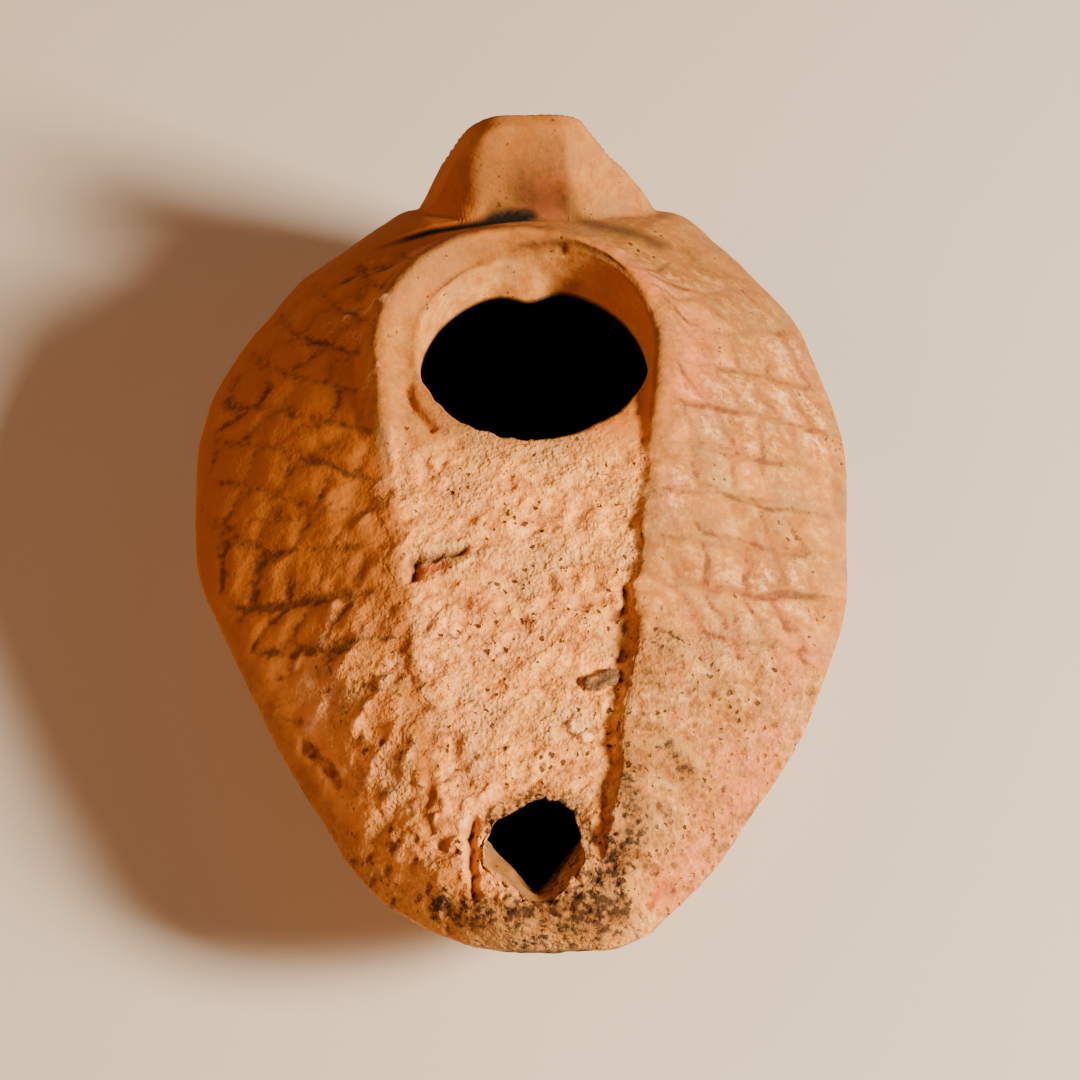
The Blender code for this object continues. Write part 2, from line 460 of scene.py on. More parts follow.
    def bowl(self, share: np.ndarray, low: float) -> np.ndarray:
        """Height of the lower half mould, from its floor at share 0 to the rim at share 1.

        rim - (rim - low) (1 - share^1.9)^0.8: level at the floor and upright at the rim.
        """
        return self.rim_height - (self.rim_height - low) * (1.0 - share**1.9) ** 0.8


# ---------------------------------------------------------------------------------------------------
# Relief and stains


class Skin(Enum):
    """Parts of the shell's skin, which differ in relief and in dirt."""

    TOP = "upper half mould"
    UNDER = "lower half mould and foot"
    HOLE = "walls of the two holes"
    INSIDE = "inside of the reservoir"


@dataclass(frozen=True)
class Mark:
    """Line or spot on the upper skin, in plan: its places, half width, and height (below zero is cut in)."""

    places: Stroke
    half_width: float
    height: float = 0.0

    def strength(self, x: np.ndarray, y: np.ndarray) -> np.ndarray:
        """One on the line, falling off in a bell curve beside it."""
        line = self.places if len(self.places) > 1 else self.places * 2
        return bell(stroke_distance(x, y, line), self.half_width)


@dataclass(frozen=True)
class PitScatter:
    """Small round pits, one at most in each square cell, in some share of the cells."""

    cell: float
    radius: float
    share: float
    depth: float
    seed: int

    def strength(self, places: Points) -> np.ndarray:
        """Hollow at some plan places: 1 - (distance / radius)^2 in a pit, and zero outside them all.

        A cell's pit has its place, its radius and whether it is there from a hash of the cell, and
        each place is measured from the pits of its own cell and of the eight round it.

        Args:
            places: plan places, with two columns.

        Returns:
            One value for each place.
        """
        place = places / self.cell
        corner = np.floor(place)
        best = np.zeros(len(place))
        for offset in np.ndindex(3, 3):
            at = corner + np.array(offset) - 1.0
            key = np.sin(at @ np.array([127.1, 311.7]) + self.seed * 3.7) * 43758.5453
            first, second, third, fourth = (np.mod(key * turn, 1.0) for turn in (1.0, 3.1, 7.7, 13.3))
            middle = at + 0.2 + 0.6 * np.stack([first, second], axis=1)
            size = self.radius * (0.45 + 0.55 * third) * (fourth < self.share)
            gap = np.linalg.norm(place - middle, axis=1) * self.cell
            best = np.maximum(best, np.clip(1.0 - (gap / np.maximum(size, 1e-6)) ** 2, 0.0, 1.0))
        return best


@dataclass(frozen=True)
class Wear:
    """Height that each scale of noise adds to a worn region, in millimetres."""

    slow: float = 0.0
    rough: float = 0.0
    fine: float = 0.0
    streak: float = 0.0


@dataclass(frozen=True)
class NetPattern:
    """Moulded net on both shoulders: lines that run out from the ring, and slanting lines between them."""

    spacing: float = 5.25
    right_start: float = 1.3
    left_start: float = 0.8
    sweep: float = 0.2
    left_sweep: float = 0.75
    hook: float = 1.0
    cross_spacing: float = 3.5
    cross_slant: float = 0.65
    line_half_width: float = 0.36
    line_depth: float = 0.0792
    left_line_depth: float = 0.0924
    pad_height: float = 0.14

    def lines(self, x: np.ndarray, y: np.ndarray, beyond: np.ndarray, noise: Points) -> tuple:
        """Distance to the nearest line of each kind, and a value for each cell between them.

        The place along the lamp is y beside the channel and an arc length round the ring behind it.
        A running line sweeps backwards as it goes out, more on the left at the back, with a hook at its
        inner end. A slanting line steps sideways at each running line, as joints do in a wall of bricks.

        Args:
            x: places across the lamp.
            y: places along it.
            beyond: distance outside the crest.
            noise: four columns of noise that make the lines wander, the last one the finest.

        Returns:
            Distance to a running line, distance to a slanting line, and the cell's value from 0 to 1.
        """
        turn = 16.8 + 21.0 * np.arctan2(y - 16.8, np.abs(x))
        along = np.where(y < 16.8, y, turn)
        start = np.where(x > 0.0, self.right_start, self.left_start)
        sweep = mix(self.sweep, self.left_sweep, ramp(-x, 0.0, 4.0) * ramp(y, -8.0, 4.0))
        course = along - start - sweep * (beyond - 8.0) - self.hook * np.exp(-beyond / 1.6)
        course = (course + 0.6 * noise[:, 0] + 0.3 * noise[:, 3]) / self.spacing
        row = np.floor(course)
        in_row = course - row
        running = np.minimum(in_row, 1.0 - in_row) * self.spacing
        chance = np.mod(np.sin(row * 12.9 + (x > 0.0) * 4.1) * 43758.5, 1.0)
        lean = self.cross_slant * (0.4 + 1.2 * np.mod(chance * 7.3, 1.0)) * in_row * self.spacing
        cross = (beyond + lean + 0.9 * noise[:, 1] + 0.45 * noise[:, 3]) / self.cross_spacing + chance
        column = np.floor(cross)
        in_column = cross - column
        slanting = np.minimum(in_column, 1.0 - in_column) * self.cross_spacing
        cell = np.mod(np.sin(row * 78.2 + column * 37.7 + (x > 0.0) * 9.3) * 23421.6, 1.0)
        return running, slanting, cell


@dataclass
class Relief:
    """What moulding, wear, breaks and burial did to the skin, as heights and stains at each point.

    Places are in plan, in millimetres, with the nozzle at -Y. Some of the stains are painted shade and
    painted bounce light, which is said where they are worked out.
    """

    form: LampForm
    points: Points
    skins: dict[Skin, np.ndarray]
    net: NetPattern = NetPattern()

    cut_lines: tuple[Stroke, ...] = (
        ((16.5, 6.5), (19.0, 7.0), (22.5, 6.5), (26.0, 7.5)),
        ((17.5, 2.0), (21.5, 1.5), (24.0, 1.5), (31.0, 3.5)),
        ((16.0, -1.0), (18.0, -3.5), (20.5, -3.5), (25.5, -3.5), (28.0, -2.5)),
        ((14.5, -8.0), (16.0, -9.5), (18.0, -9.0), (18.5, -8.0)),
        ((19.5, -9.0), (23.5, -9.0), (26.5, -7.0), (30.5, -6.5)),
        ((15.5, -11.0), (18.0, -14.5), (22.0, -15.0)),
        ((16.5, 6.5), (17.5, 1.5)),
        ((23.5, 0.5), (26.0, -6.5)),
        ((26.0, 1.0), (28.5, -2.5)),
        ((20.5, -9.5), (21.5, -14.5)),
        ((23.0, -11.0), (24.5, -14.5)),
        ((18.5, -15.5), (18.5, -21.0)),
        ((-25.0, -3.0), (-19.5, -5.0), (-17.5, -5.0)),
        ((-29.5, -8.0), (-25.5, -8.5), (-21.5, -9.5), (-18.5, -10.0)),
        ((-25.0, -13.5), (-21.5, -15.0), (-16.5, -16.0)),
        ((-27.0, 1.0), (-23.0, -0.5), (-20.0, -1.0), (-18.5, 0.0)),
        ((-25.0, -16.5), (-21.5, -17.0)),
        ((-24.0, -20.5), (-20.5, -23.0)),
    )
    # Raised lines on the left shoulder; the pale stain also paints a highlight on their tops.
    raised_lines: tuple[Mark, ...] = (
        Mark(((-18.0, -11.0), (-19.5, -15.0)), 0.45, 0.35),
        Mark(((-21.5, -15.5), (-24.0, -20.0)), 0.4, 0.3),
        Mark(((-15.0, -14.5), (-17.5, -18.5), (-20.5, -23.0)), 0.5, 0.35),
        Mark(((-12.0, -18.5), (-14.0, -22.0), (-16.0, -25.0)), 0.5, 0.35),
        Mark(((-12.0, -25.5), (-14.5, -30.0)), 0.5, 0.35),
        Mark(((-10.0, -27.0), (-12.5, -33.0)), 0.5, 0.35),
        Mark(((-9.5, -31.5), (-11.5, -38.0)), 0.5, 0.3),
        Mark(((-7.5, -33.0), (-9.0, -40.0)), 0.5, 0.3),
        Mark(((-16.5, -3.5), (-15.0, -2.0), (-14.5, 1.0), (-12.5, 2.5)), 0.35, 0.18),
        Mark(((-17.5, 22.5), (-14.0, 22.5)), 0.6, 0.5),
        Mark(((-16.0, 12.0), (-14.5, 14.0)), 0.45, 0.35),
        Mark(((-5.5, -35.5), (-4.7, -33.2), (-2.0, -31.5)), 0.4, 0.35),
        Mark(((9.0, -34.5), (8.3, -37.5), (7.0, -41.0)), 0.35, 0.3),
    )
    breaks: tuple[Mark, ...] = (
        Mark(((-10.4, -7.7), (-10.5, -9.2)), 0.5, -1.0),
        Mark(((-10.4, -7.3), (-7.4, -6.7), (-5.6, -6.1)), 0.36, -1.0),
        Mark(((-9.6, -8.4), (-7.9, -8.0)), 0.8, -0.45),
        Mark(((-6.4, -11.9), (-5.4, -12.3)), 0.55, -0.5),
        Mark(((2.8, -9.6), (3.2, -10.4)), 0.5, -0.5),
        Mark(((-4.2, -14.1),), 0.4, -0.5),
        Mark(((-9.0, -14.7),), 0.5, -0.4),
        Mark(((0.0, -14.0), (0.6, -15.2)), 0.4, -0.45),
        Mark(((-9.4, 1.8), (-9.6, 3.6)), 0.5, -0.4),
        Mark(((-1.4, 2.1), (-1.0, 0.8)), 0.4, -0.35),
        Mark(((-0.2, -0.8),), 0.4, -0.35),
        Mark(((-7.8, 3.5),), 0.4, -0.4),
        Mark(((7.6, -11.9), (5.5, -12.6)), 0.4, -0.4),
        Mark(((10.0, -10.6), (10.2, -12.6), (8.6, -13.6)), 0.45, -0.7),
        Mark(((9.8, -14.0), (9.4, -16.0), (9.6, -18.2)), 1.0, -0.6),
        Mark(((13.8, -40.6),), 0.7, -0.5),
        Mark(((-20.9, -24.6), (-19.4, -26.4)), 0.6, -0.6),
        Mark(((-18.6, -27.6), (-17.6, -29.2)), 0.5, -0.6),
        Mark(((18.5, -21.0),), 0.5, -0.4),
    )
    grooves: tuple[Mark, ...] = (
        Mark(((-4.5, -35.0), (-4.8, -38.5), (-4.5, -42.3)), 0.47, 0.72),
        Mark(((-6.3, -23.0), (-6.3, -27.5), (-6.0, -31.5)), 0.7, 0.25),
        Mark(((-11.6, 12.8), (-10.9, 10.2), (-9.0, 7.6)), 0.5, 0.6),
    )
    blushes: tuple[Mark, ...] = (
        Mark(((18.0, 21.8), (17.5, 12.5)), 3.0, 0.6),
        Mark(((14.0, 24.5), (9.0, 30.0)), 2.0, 0.5),
        Mark(((27.0, -14.0), (22.5, -27.0), (17.5, -36.5), (13.5, -41.0)), 2.0, 0.75),
        Mark(((20.0, -27.0), (17.0, -33.0)), 1.5, 0.5),
        Mark(((16.0, 8.0), (15.0, -2.0)), 1.2, 0.5),
        Mark(((-7.0, 36.0), (-12.0, 30.0)), 2.0, 0.4),
        Mark(((0.0, 38.5), (3.0, 38.5)), 1.2, 0.8),
    )
    fresh_breaks: tuple[Mark, ...] = (
        Mark(((-9.7, -8.4), (-7.6, -7.9)), 0.6, 1.0),
        Mark(((15.0, -23.5), (14.4, -24.8)), 0.6, 0.5),
        Mark(((13.6, -40.2), (12.2, -42.6)), 0.35, 0.8),
    )
    smudges: tuple[Mark, ...] = (
        Mark(((0.0, 38.8), (5.0, 38.2), (8.0, 36.6), (14.0, 34.6)), 1.5, 0.65),
        Mark(((17.5, 34.5), (19.5, 31.5)), 1.5, 0.25),
        Mark(((21.0, 33.0), (21.8, 28.7)), 1.2, 0.2),
        Mark(((-1.0, 38.8), (3.0, 38.8)), 1.1, 0.35),
    )
    smokes: tuple[Mark, ...] = (
        Mark(((0.0, -44.2), (4.0, -44.0), (9.0, -43.4)), 1.6, 0.95),
        Mark(((-7.5, -42.6), (-3.0, -44.0)), 1.1, 0.7),
        Mark(((9.2, -38.2), (8.4, -41.0)), 1.5, 0.9),
        Mark(((10.6, -29.5), (10.8, -37.0)), 1.3, 0.42),
        Mark(((13.5, -27.5), (15.5, -29.5)), 1.6, 0.35),
        Mark(((14.5, -16.0), (13.5, -19.5)), 1.5, 0.3),
    )
    inclusion: Mark = Mark(((6.8, -20.8), (8.6, -20.2)), 0.95, 0.4)
    chips: tuple[Mark, ...] = (Mark(((4.9, -25.2), (5.2, -25.8)), 0.42, 0.5), Mark(((6.2, -26.4),), 0.5, 0.5))

    channel_pits: PitScatter = PitScatter(3.4, 0.5, 0.5, 0.22, seed=1)
    right_pits: PitScatter = PitScatter(1.7, 0.42, 0.6, 0.2, seed=2)
    nozzle_pits: PitScatter = PitScatter(1.9, 0.6, 0.6, 0.2, seed=4)
    under_pits: PitScatter = PitScatter(2.6, 0.5, 0.35, 0.15, seed=6)

    slow_size: float = 7.0
    rough_size: float = 2.2
    fine_size: float = 0.9
    streak_size: float = 2.4
    streak_heading: tuple[float, float] = (0.77, 0.64)
    streak_narrowing: float = 3.0

    pressed: Wear = Wear(slow=0.14, rough=0.05, fine=0.02)
    battered: Wear = Wear(rough=0.12, fine=0.07)
    scoured: Wear = Wear(rough=0.16, fine=0.04, streak=0.16)
    crumbled: Wear = Wear(rough=0.2, fine=0.12)
    chipped: Wear = Wear(rough=0.2)
    burnt: Wear = Wear(rough=0.08)
    under_swell: float = 0.12
    groove_depth: float = 1.1
    crease_depth: float = 0.4
    hole_groove_depth: float = 0.2
    inclusion_gap_depth: float = 0.3
    edge_raggedness: float = 0.1
    front_raggedness: float = 0.22
    nub_swell: float = 1.5
    soot: tuple[float, float] = (0.9, 0.85)

    def __post_init__(self) -> None:
        """Works out the distances, noises and regions that several features share."""
        self.x, self.y, self.z = self.points.T
        _, self.beyond, self.inside = self.form.shoulder(self.x, self.y)
        slow = [rough_noise(self.points, self.slow_size, 2, seed) for seed in (3, 11, 23)]
        self.slow = np.stack(slow, axis=1)
        self.rough = rough_noise(self.points, self.rough_size, 3, 5)
        self.fine = rough_noise(self.points, self.fine_size, 2, 41)
        cos, sin = self.streak_heading
        across = self.streak_narrowing * (cos * self.y - sin * self.x)
        turned = np.stack([cos * self.x + sin * self.y, across, self.z], axis=1)
        self.streak = rough_noise(turned, self.streak_size, 2, 61)
        self.find_skins()
        self.find_wear()
        noise = np.column_stack([self.slow, self.rough])
        self.running, self.slanting, self.cell = self.net.lines(self.x, self.y, self.beyond, noise)
        self.lines, self.pads = self.net_lines(), self.net_pads()
        self.faint_lines = self.right * bell(self.slanting, 0.45)
        nudged = np.stack([self.x, self.y], axis=1) + 0.2 * self.rough[:, None] * [1.0, -0.7]
        self.channel_pocks, self.right_pocks, self.nozzle_pocks, self.under_pocks = (
            region * pits.strength(nudged) for region, pits in
            ((self.in_channel, self.channel_pits), (self.speckled, self.right_pits),
             (self.nozzle, self.nozzle_pits), (self.under, self.under_pits)))

    def find_skins(self) -> None:
        """Finds the parts of the skin, each from 0 to 1; over is the top and a little below its rim."""
        self.top = self.skins[Skin.TOP] & (self.inside > 0.0)
        self.under = self.skins[Skin.UNDER] * ramp(self.z, 0.0, 3.0)
        self.over = np.maximum(self.top, self.skins[Skin.UNDER] * ramp(self.z, 10.0, 16.5))
        self.in_channel = self.top * ramp(-self.beyond, -0.2, 0.8)
        self.nozzle = self.over * (1.0 - ramp(self.y, -38.0, -30.0))
        self.on_shoulder = self.top * ramp(self.beyond, 0.7, 2.0) * ramp(self.inside, 0.8, 2.2)
        self.on_shoulder = self.on_shoulder * (1.0 - ramp(self.y, 30.0, 34.0))
        self.left = self.on_shoulder * ramp(-self.x, 2.0, 8.0)
        self.right = self.on_shoulder * (1.0 - self.left)
        self.shaded = ramp(self.beyond, 0.3, 1.5) * ramp(-self.x, 2.0, 8.0) * ramp(self.z, 6.0, 16.0)
        self.low = ramp(-self.y, 8.0, 18.0)
        self.back = self.top * ramp(self.y, 20.0, 36.0)
        self.back_right = self.back * ramp(self.x, 2.0, 8.0)
        self.ring = self.top * ramp(self.y, 2.0, 10.0) * (1.0 - self.shaded)
        self.ring = self.ring * (1.0 - ramp(self.beyond, 1.0, 3.0))
        # Right walls of the ring and the filling hole, which lie in shade: painted bounce light makes them
        # lighter and orange.
        self.ring_wall_painted_bounce = ramp(self.x, 4.0, 9.0) * ramp(-self.beyond, 0.3, 1.2)
        self.hole_wall_painted_bounce = self.skins[Skin.HOLE] * ramp(self.y, 2.0, 8.0) * ramp(self.x, 4.0, 9.0)
        self.wick_wall = self.skins[Skin.HOLE] * ramp(-self.y, 20.0, 25.0)

    def find_wear(self) -> None:
        """Finds the regions of coarse wear.

        They are the channel's crumbling left edge, the coarse ground at its left towards the nozzle,
        and the dark pits on the right shoulder, also towards the nozzle.
        """
        edge = bell(self.beyond - 0.4, 1.1)
        self.left_edge = self.top * edge * ramp(-self.x, 2.0, 6.0) * ramp(-self.y, -6.0, 2.0)
        low_left = ramp(-self.y, 8.0, 16.0) * ramp(-self.x, 4.0, 8.0) * ramp(self.inside, 1.5, 4.0)
        self.low_left = self.top * low_left * (1.0 - ramp(self.beyond, 7.0, 10.0))
        low_right = ramp(-self.y, 10.0, 18.0) * ramp(self.x, 6.0, 9.0)
        self.speckled = self.over * low_right * ramp(self.beyond, -0.6, 0.4)

    def net_lines(self) -> np.ndarray:
        """Strength of the net's grooves: one in a groove, zero on the pads between them.

        Returns:
            One value for each point.
        """
        half = self.net.line_half_width
        running = bell(self.running, half) * (0.75 + 0.6 * self.slow[:, 2])
        slanting = bell(self.slanting, half) * (0.5 + 0.8 * self.slow[:, 0] + 0.3 * self.rough)
        x = self.x + 0.5 * self.slow[:, 0] + 0.25 * self.rough
        y = self.y + 0.6 * self.slow[:, 1] + 0.25 * self.rough
        drawn = np.max([Mark(line, half).strength(x, y) for line in self.cut_lines], axis=0)
        regular = np.maximum(running, slanting) * (1.0 - ramp(-self.y, 12.0, 20.0))
        faded = 0.5 + 0.5 * ramp(self.rough + 0.6 * self.slow[:, 1], -0.4, 0.4)
        return np.clip(np.maximum(regular, drawn), 0.0, 1.0) * self.on_shoulder * faded

    def net_pads(self) -> np.ndarray:
        """Swell of the pads between the grooves: zero in a groove and one where the pad is full."""
        return (1.0 - bell(np.minimum(self.running, self.slanting), 1.1)) * self.on_shoulder

    def warp(self) -> tuple[np.ndarray, np.ndarray]:
        """Plan places nudged by noise, so that drawn marks get ragged edges."""
        return self.x + 0.22 * self.fine + 0.15 * self.rough, self.y + 0.22 * np.roll(self.fine, 7)

    def marks(self, marks: tuple[Mark, ...]) -> np.ndarray:
        """Sum of the heights of some marks on the top."""
        x, y = self.warp()
        return self.top * np.sum([mark.height * mark.strength(x, y) for mark in marks], axis=0)

    def worn(self, wear: Wear) -> np.ndarray:
        """Height of one kind of wear."""
        return (wear.slow * self.slow[:, 0] + wear.rough * self.rough + wear.fine * self.fine
                + wear.streak * self.streak)

    def height(self) -> np.ndarray:
        """Height that is added square to the smooth skin, in millimetres.

        Returns:
            One height for each point.
        """
        outer = ~self.skins[Skin.INSIDE] * ramp(self.z, 0.0, 3.0)
        crest = self.top * bell(self.beyond, 1.6) * ramp(-self.y, -6.0, 2.0)
        total = outer * self.worn(self.pressed) + self.low_left * self.worn(self.battered)
        total += self.in_channel * ramp(-self.y, -8.0, 0.0) * self.worn(self.scoured)
        total += self.left_edge * self.worn(self.crumbled)
        total += crest * self.worn(self.chipped) + self.nozzle * self.worn(self.burnt)
        total += self.under_swell * self.under * self.slow[:, 2]
        total += self.net.pad_height * self.pads
        total -= self.lines * mix(self.net.line_depth, self.net.left_line_depth, self.left)
        total += self.marks(self.raised_lines) * np.clip(0.6 + 0.9 * self.rough, 0.0, 1.2)
        total += self.marks(self.breaks) + self.marks(self.chips) + self.top * self.lump()
        for pits, pocks in ((self.channel_pits, self.channel_pocks), (self.right_pits, self.right_pocks),
                            (self.nozzle_pits, self.nozzle_pocks), (self.under_pits, self.under_pocks)):
            total -= pits.depth * pocks
        total -= self.groove_depth * self.cut_grooves() + self.crease_depth * self.crease()
        return total - self.hole_groove_depth * self.hole_groove()

    def shift(self) -> Points:
        """Sideways shift of the holes' edges and walls that leaves them ragged.

        A nub swells out of the filling hole's back wall, more the lower down it.

        Returns:
            x, y and z of the shift for each point.
        """
        wall = self.skins[Skin.HOLE] | self.skins[Skin.TOP]
        gap, wick_gap, throat_gap = (np.maximum(hull.distance(self.x, self.y), 0.0) for hull in
                                     (self.form.filling_hole, self.form.wick_hole, self.form.filling_throat))
        near = wall * np.maximum(bell(gap, 0.7), bell(wick_gap, 0.8))
        size = near * (self.edge_raggedness + self.front_raggedness * (1.0 - ramp(self.y, 8.0, 14.0)))
        sunk = np.clip((self.form.channel_back - self.z) / self.form.wall, 0.0, 1.0) ** 1.5
        nub = bell(throat_gap, 1.0) * ~self.top * sunk * bell(self.x - 0.6, 2.3)
        nub = nub * ramp(self.y, 22.0, 26.0) * (self.z > 22.0)
        along = size * np.roll(self.rough, 11) - self.nub_swell * nub
        return np.stack([size * self.rough, along, -0.6 * size * np.abs(self.fine)], axis=1)

    def cut_grooves(self) -> np.ndarray:
        """Strength of the long shallow grooves beside the holes and down the channel."""
        lines = [mark.height * mark.strength(self.x + 0.12 * self.rough, self.y) for mark in self.grooves]
        return self.top * np.max(lines, axis=0)

    def lump(self) -> np.ndarray:
        """Stone inclusion: a flat-topped lump with a narrow gap round it.

        Returns:
            Height at each point.
        """
        half = self.inclusion.half_width
        distance = stroke_distance(*self.warp(), self.inclusion.places)
        flat = 1.0 - ramp(distance, half * 0.7, half)
        return self.inclusion.height * flat - self.inclusion_gap_depth * bell(distance - half * 1.25, 0.28)

    def crease(self) -> np.ndarray:
        """Deep crease between the ring and the handle's left half; its black is part soot and part painted
        shade.

        Returns:
            One in the crease, zero away from it.
        """
        line = ((-14.5, 35.2), (-8.5, 36.2), (-5.2, 36.6), (-1.4, 37.3), (2.8, 37.6))
        gap = stroke_distance(self.x, self.y + 0.2 * self.slow[:, 0], line)
        half = mix(0.75, 1.3, ramp(-self.x, 0.0, 5.0))
        ends = (1.0 - ramp(self.x, 0.0, 3.6)) * (1.0 - 0.8 * ramp(-self.x, 10.0, 15.0))
        climbs = ramp(-self.x, 3.0, 4.8) * ramp(self.y - 0.17 * self.x, 37.8, 38.7)
        return self.top * bell(gap, half) * ends * (1.0 - climbs)

    def hole_groove(self) -> np.ndarray:
        """Thin groove round the back of the filling hole, just outside its edge.

        Returns:
            One in the groove, zero away from it.
        """
        gap = self.form.filling_hole.distance(self.x, self.y) - 0.35
        broken = np.clip(0.8 + 0.8 * self.slow[:, 1] + 0.3 * self.rough, 0.0, 1.0)
        return self.top * bell(gap, 0.25) * ramp(self.y, 24.0, 27.0) * broken

    def stains(self) -> dict[str, np.ndarray]:
        """Amount of each stain at each point, by the name the finish knows it by.

        Returns:
            For each name, one value for each point. Values outside 0 to 1 are cut off later.
        """
        # Soot, with painted shade low on the wick hole's right wall.
        smoke = np.maximum.reduce([self.patches(self.smokes), self.wick_smoke(), self.wall_smoke_and_shade()])
        lump = 1.0 - ramp(stroke_distance(*self.warp(), self.inclusion.places), 0.7, 1.1)
        wall_foot = self.skins[Skin.HOLE] * (1.0 - ramp(self.z, 0.0, 1.0))
        red = np.maximum(self.faint_lines, 1.3 * self.lines * (1.0 - self.left))
        return {
            "tone": self.tone(),
            "open": self.open_skin(),
            "dirt": self.dirt(),
            # Ochre is painted shade: the orange that warm bounce light gives shade, on the left shoulder
            # (less towards the nozzle), at the channel's left edge, in the grooves and on the shaded right
            # walls of the ring and the filling hole; it also warms the back, most on its left.
            "ochre": np.maximum.reduce([self.shaded * (1.0 - 0.6 * self.low), 0.75 * self.left_edge,
                                        0.45 * self.back - 0.3 * self.back_right, self.cut_grooves(),
                                        mix(0.3, 1.0, self.ring_wall_painted_bounce) * self.ring, 0.8 * self.hole_wall_painted_bounce]),
            "blush": np.maximum(self.patches(self.blushes), 0.75 * red * ramp(self.slow[:, 0], -0.3, 0.5)),
            "fresh": self.patches(self.fresh_breaks),
            "pale": np.maximum.reduce([0.28 * self.pads * ramp(self.slow[:, 2], -0.2, 0.8),
                                       # Paler on the tops of the raised lines: a painted highlight where they
                                       # catch the light.
                                       np.clip(self.marks(self.raised_lines), 0.0, 0.5),
                                       0.12 * self.speckled]) + 0.1 * self.right * (1.0 - self.low),
            "flake": 3.0 * self.marks(self.chips) - 0.3,
            "stone": self.top * lump,
            "film": self.soot[0] * smoke,
            "smoke": self.soot[1] * smoke,
            # Near black inside the reservoir, in the crease behind the ring and low in the wick hole: part
            # oil soot, part painted shade.
            "inside": np.maximum.reduce([self.skins[Skin.INSIDE], wall_foot, self.soft_soot_and_shade(),
                                         1.3 * self.crease()]),
        }

    def tone(self) -> np.ndarray:
        """Lightness of the bare clay.

        It is light in the channel, darker beside it and in the ring, and uneven from pad to pad on the left.
        It is darker at the channel's left edge and on the outer left shoulder, which is painted shade, and
        lighter on the shaded right walls of the ring and the filling hole, which is painted bounce light.

        Returns:
            One value for each point, from 0 for the darkest to 1 for the lightest.
        """
        beside = self.top * ramp(self.beyond, -1.0, 0.0)
        on_left = (0.9 * self.cell * self.pads + 0.1) * (1.0 - self.low) + 0.7 * self.low
        outer_left = self.left * ramp(self.beyond, 8.0, 15.0) * (1.0 - self.low)
        nozzle_tip = self.nozzle * ramp(-self.y, 39.0, 43.0)
        # The filling hole's shaded right wall is lighter, and the ring's shaded right wall is let off its
        # darkening: painted bounce light.
        lighter = (mix(0.3, 0.95, self.top) + on_left * self.left + 0.05 * self.speckled
                   + 0.35 * nozzle_tip + 0.9 * self.hole_wall_painted_bounce)
        darker = ((0.95 - 0.25 * self.cell - 0.15 * self.pads) * beside
                  + (0.85 - 1.1 * self.ring_wall_painted_bounce) * self.ring
                  # Darker at the channel's left edge and on the outer left shoulder, which is painted shade;
                  # darker on the back, and more on its right.
                  + 0.25 * (self.left_edge + outer_left + self.back) + 0.3 * self.back_right)
        return lighter - darker

    def dirt(self) -> np.ndarray:
        """Earth in the net's lines, beside the left ones, in breaks and pits, and in patches below.

        Returns:
            One value for each point.
        """
        beside_line = self.left * bell(np.minimum(self.running, self.slanting + 0.2), 0.85)
        smudge = beside_line * (0.35 + 0.65 * ramp(self.slow[:, 1] + 0.9 * self.rough, 0.0, 0.9))
        broken = np.clip(-self.marks(self.breaks), 0.0, 1.0)
        chip_edge = self.top * bell(self.marks(self.chips) - 0.06, 0.03)
        patchy = self.under * ramp(self.slow[:, 0] + 0.5 * self.rough, 0.1, 0.9)
        return ((0.8 - 0.2 * self.left) * self.lines + 0.12 * self.faint_lines + 0.55 * smudge + broken
                + 0.7 * np.maximum(self.right_pocks, self.nozzle_pocks) + 0.6 * self.channel_pocks
                + 0.45 * patchy + 0.8 * self.hole_groove() + 0.9 * chip_edge)

    def soft_soot_and_shade(self) -> np.ndarray:
        """Soot without specks, faint beside the handle and as a film on the wick hole's left wall, with
        painted shade dark at the foot of its right wall.

        Returns:
            One value for each point.
        """
        faint = np.max([mark.height * mark.strength(self.x, self.y) for mark in self.smudges], axis=0)
        sunk = ramp(self.form.floor(self.y) - self.z, 1.0, self.form.wall)
        right = ramp(self.x, -0.5, 2.0)
        return self.top * faint + self.wick_wall * np.maximum(0.5 - 0.35 * right, 0.8 * sunk**2 * right)

    def wick_smoke(self) -> np.ndarray:
        """Soot round the wick hole, thickest behind it and on its right.

        Returns:
            One value for each point.
        """
        gap = np.maximum(self.form.wick_hole.distance(self.x, self.y), 0.0)
        side = np.maximum(ramp(self.y, -38.0, -34.0), ramp(self.x, 2.0, 6.0))
        return self.top * 0.7 * bell(gap, 1.3) * side * (1.0 + 0.5 * self.slow[:, 1])

    def wall_smoke_and_shade(self) -> np.ndarray:
        """Soot on the wick hole's right wall, with painted shade that makes it darker the lower down it."""
        sunk = ramp(self.form.floor(self.y) - self.z, 0.4, self.form.wall)
        return self.wick_wall * ramp(self.x, 0.5, 2.5) * (0.15 + 0.6 * sunk)

    def open_skin(self) -> np.ndarray:
        """How far the smooth moulded skin has gone: most in the channel and round the nozzle.

        Returns:
            One value for each point.
        """
        worn = np.maximum.reduce([0.9 * self.in_channel * ramp(-self.y, -9.0, -3.0), self.low_left,
                                  0.95 * self.speckled, self.nozzle, self.left_edge,
                                  self.under * (0.3 + 0.25 * ramp(self.slow[:, 1], -0.3, 0.5))])
        round_hole = self.top * ramp(self.y, 2.0, 10.0) * (1.0 - ramp(self.beyond, 2.0, 5.0))
        kept = ramp(self.y, 16.0, 34.0)
        return (0.15 + 0.12 * round_hole + 0.15 * self.slow[:, 2]) * (1.0 - kept) + 0.85 * worn

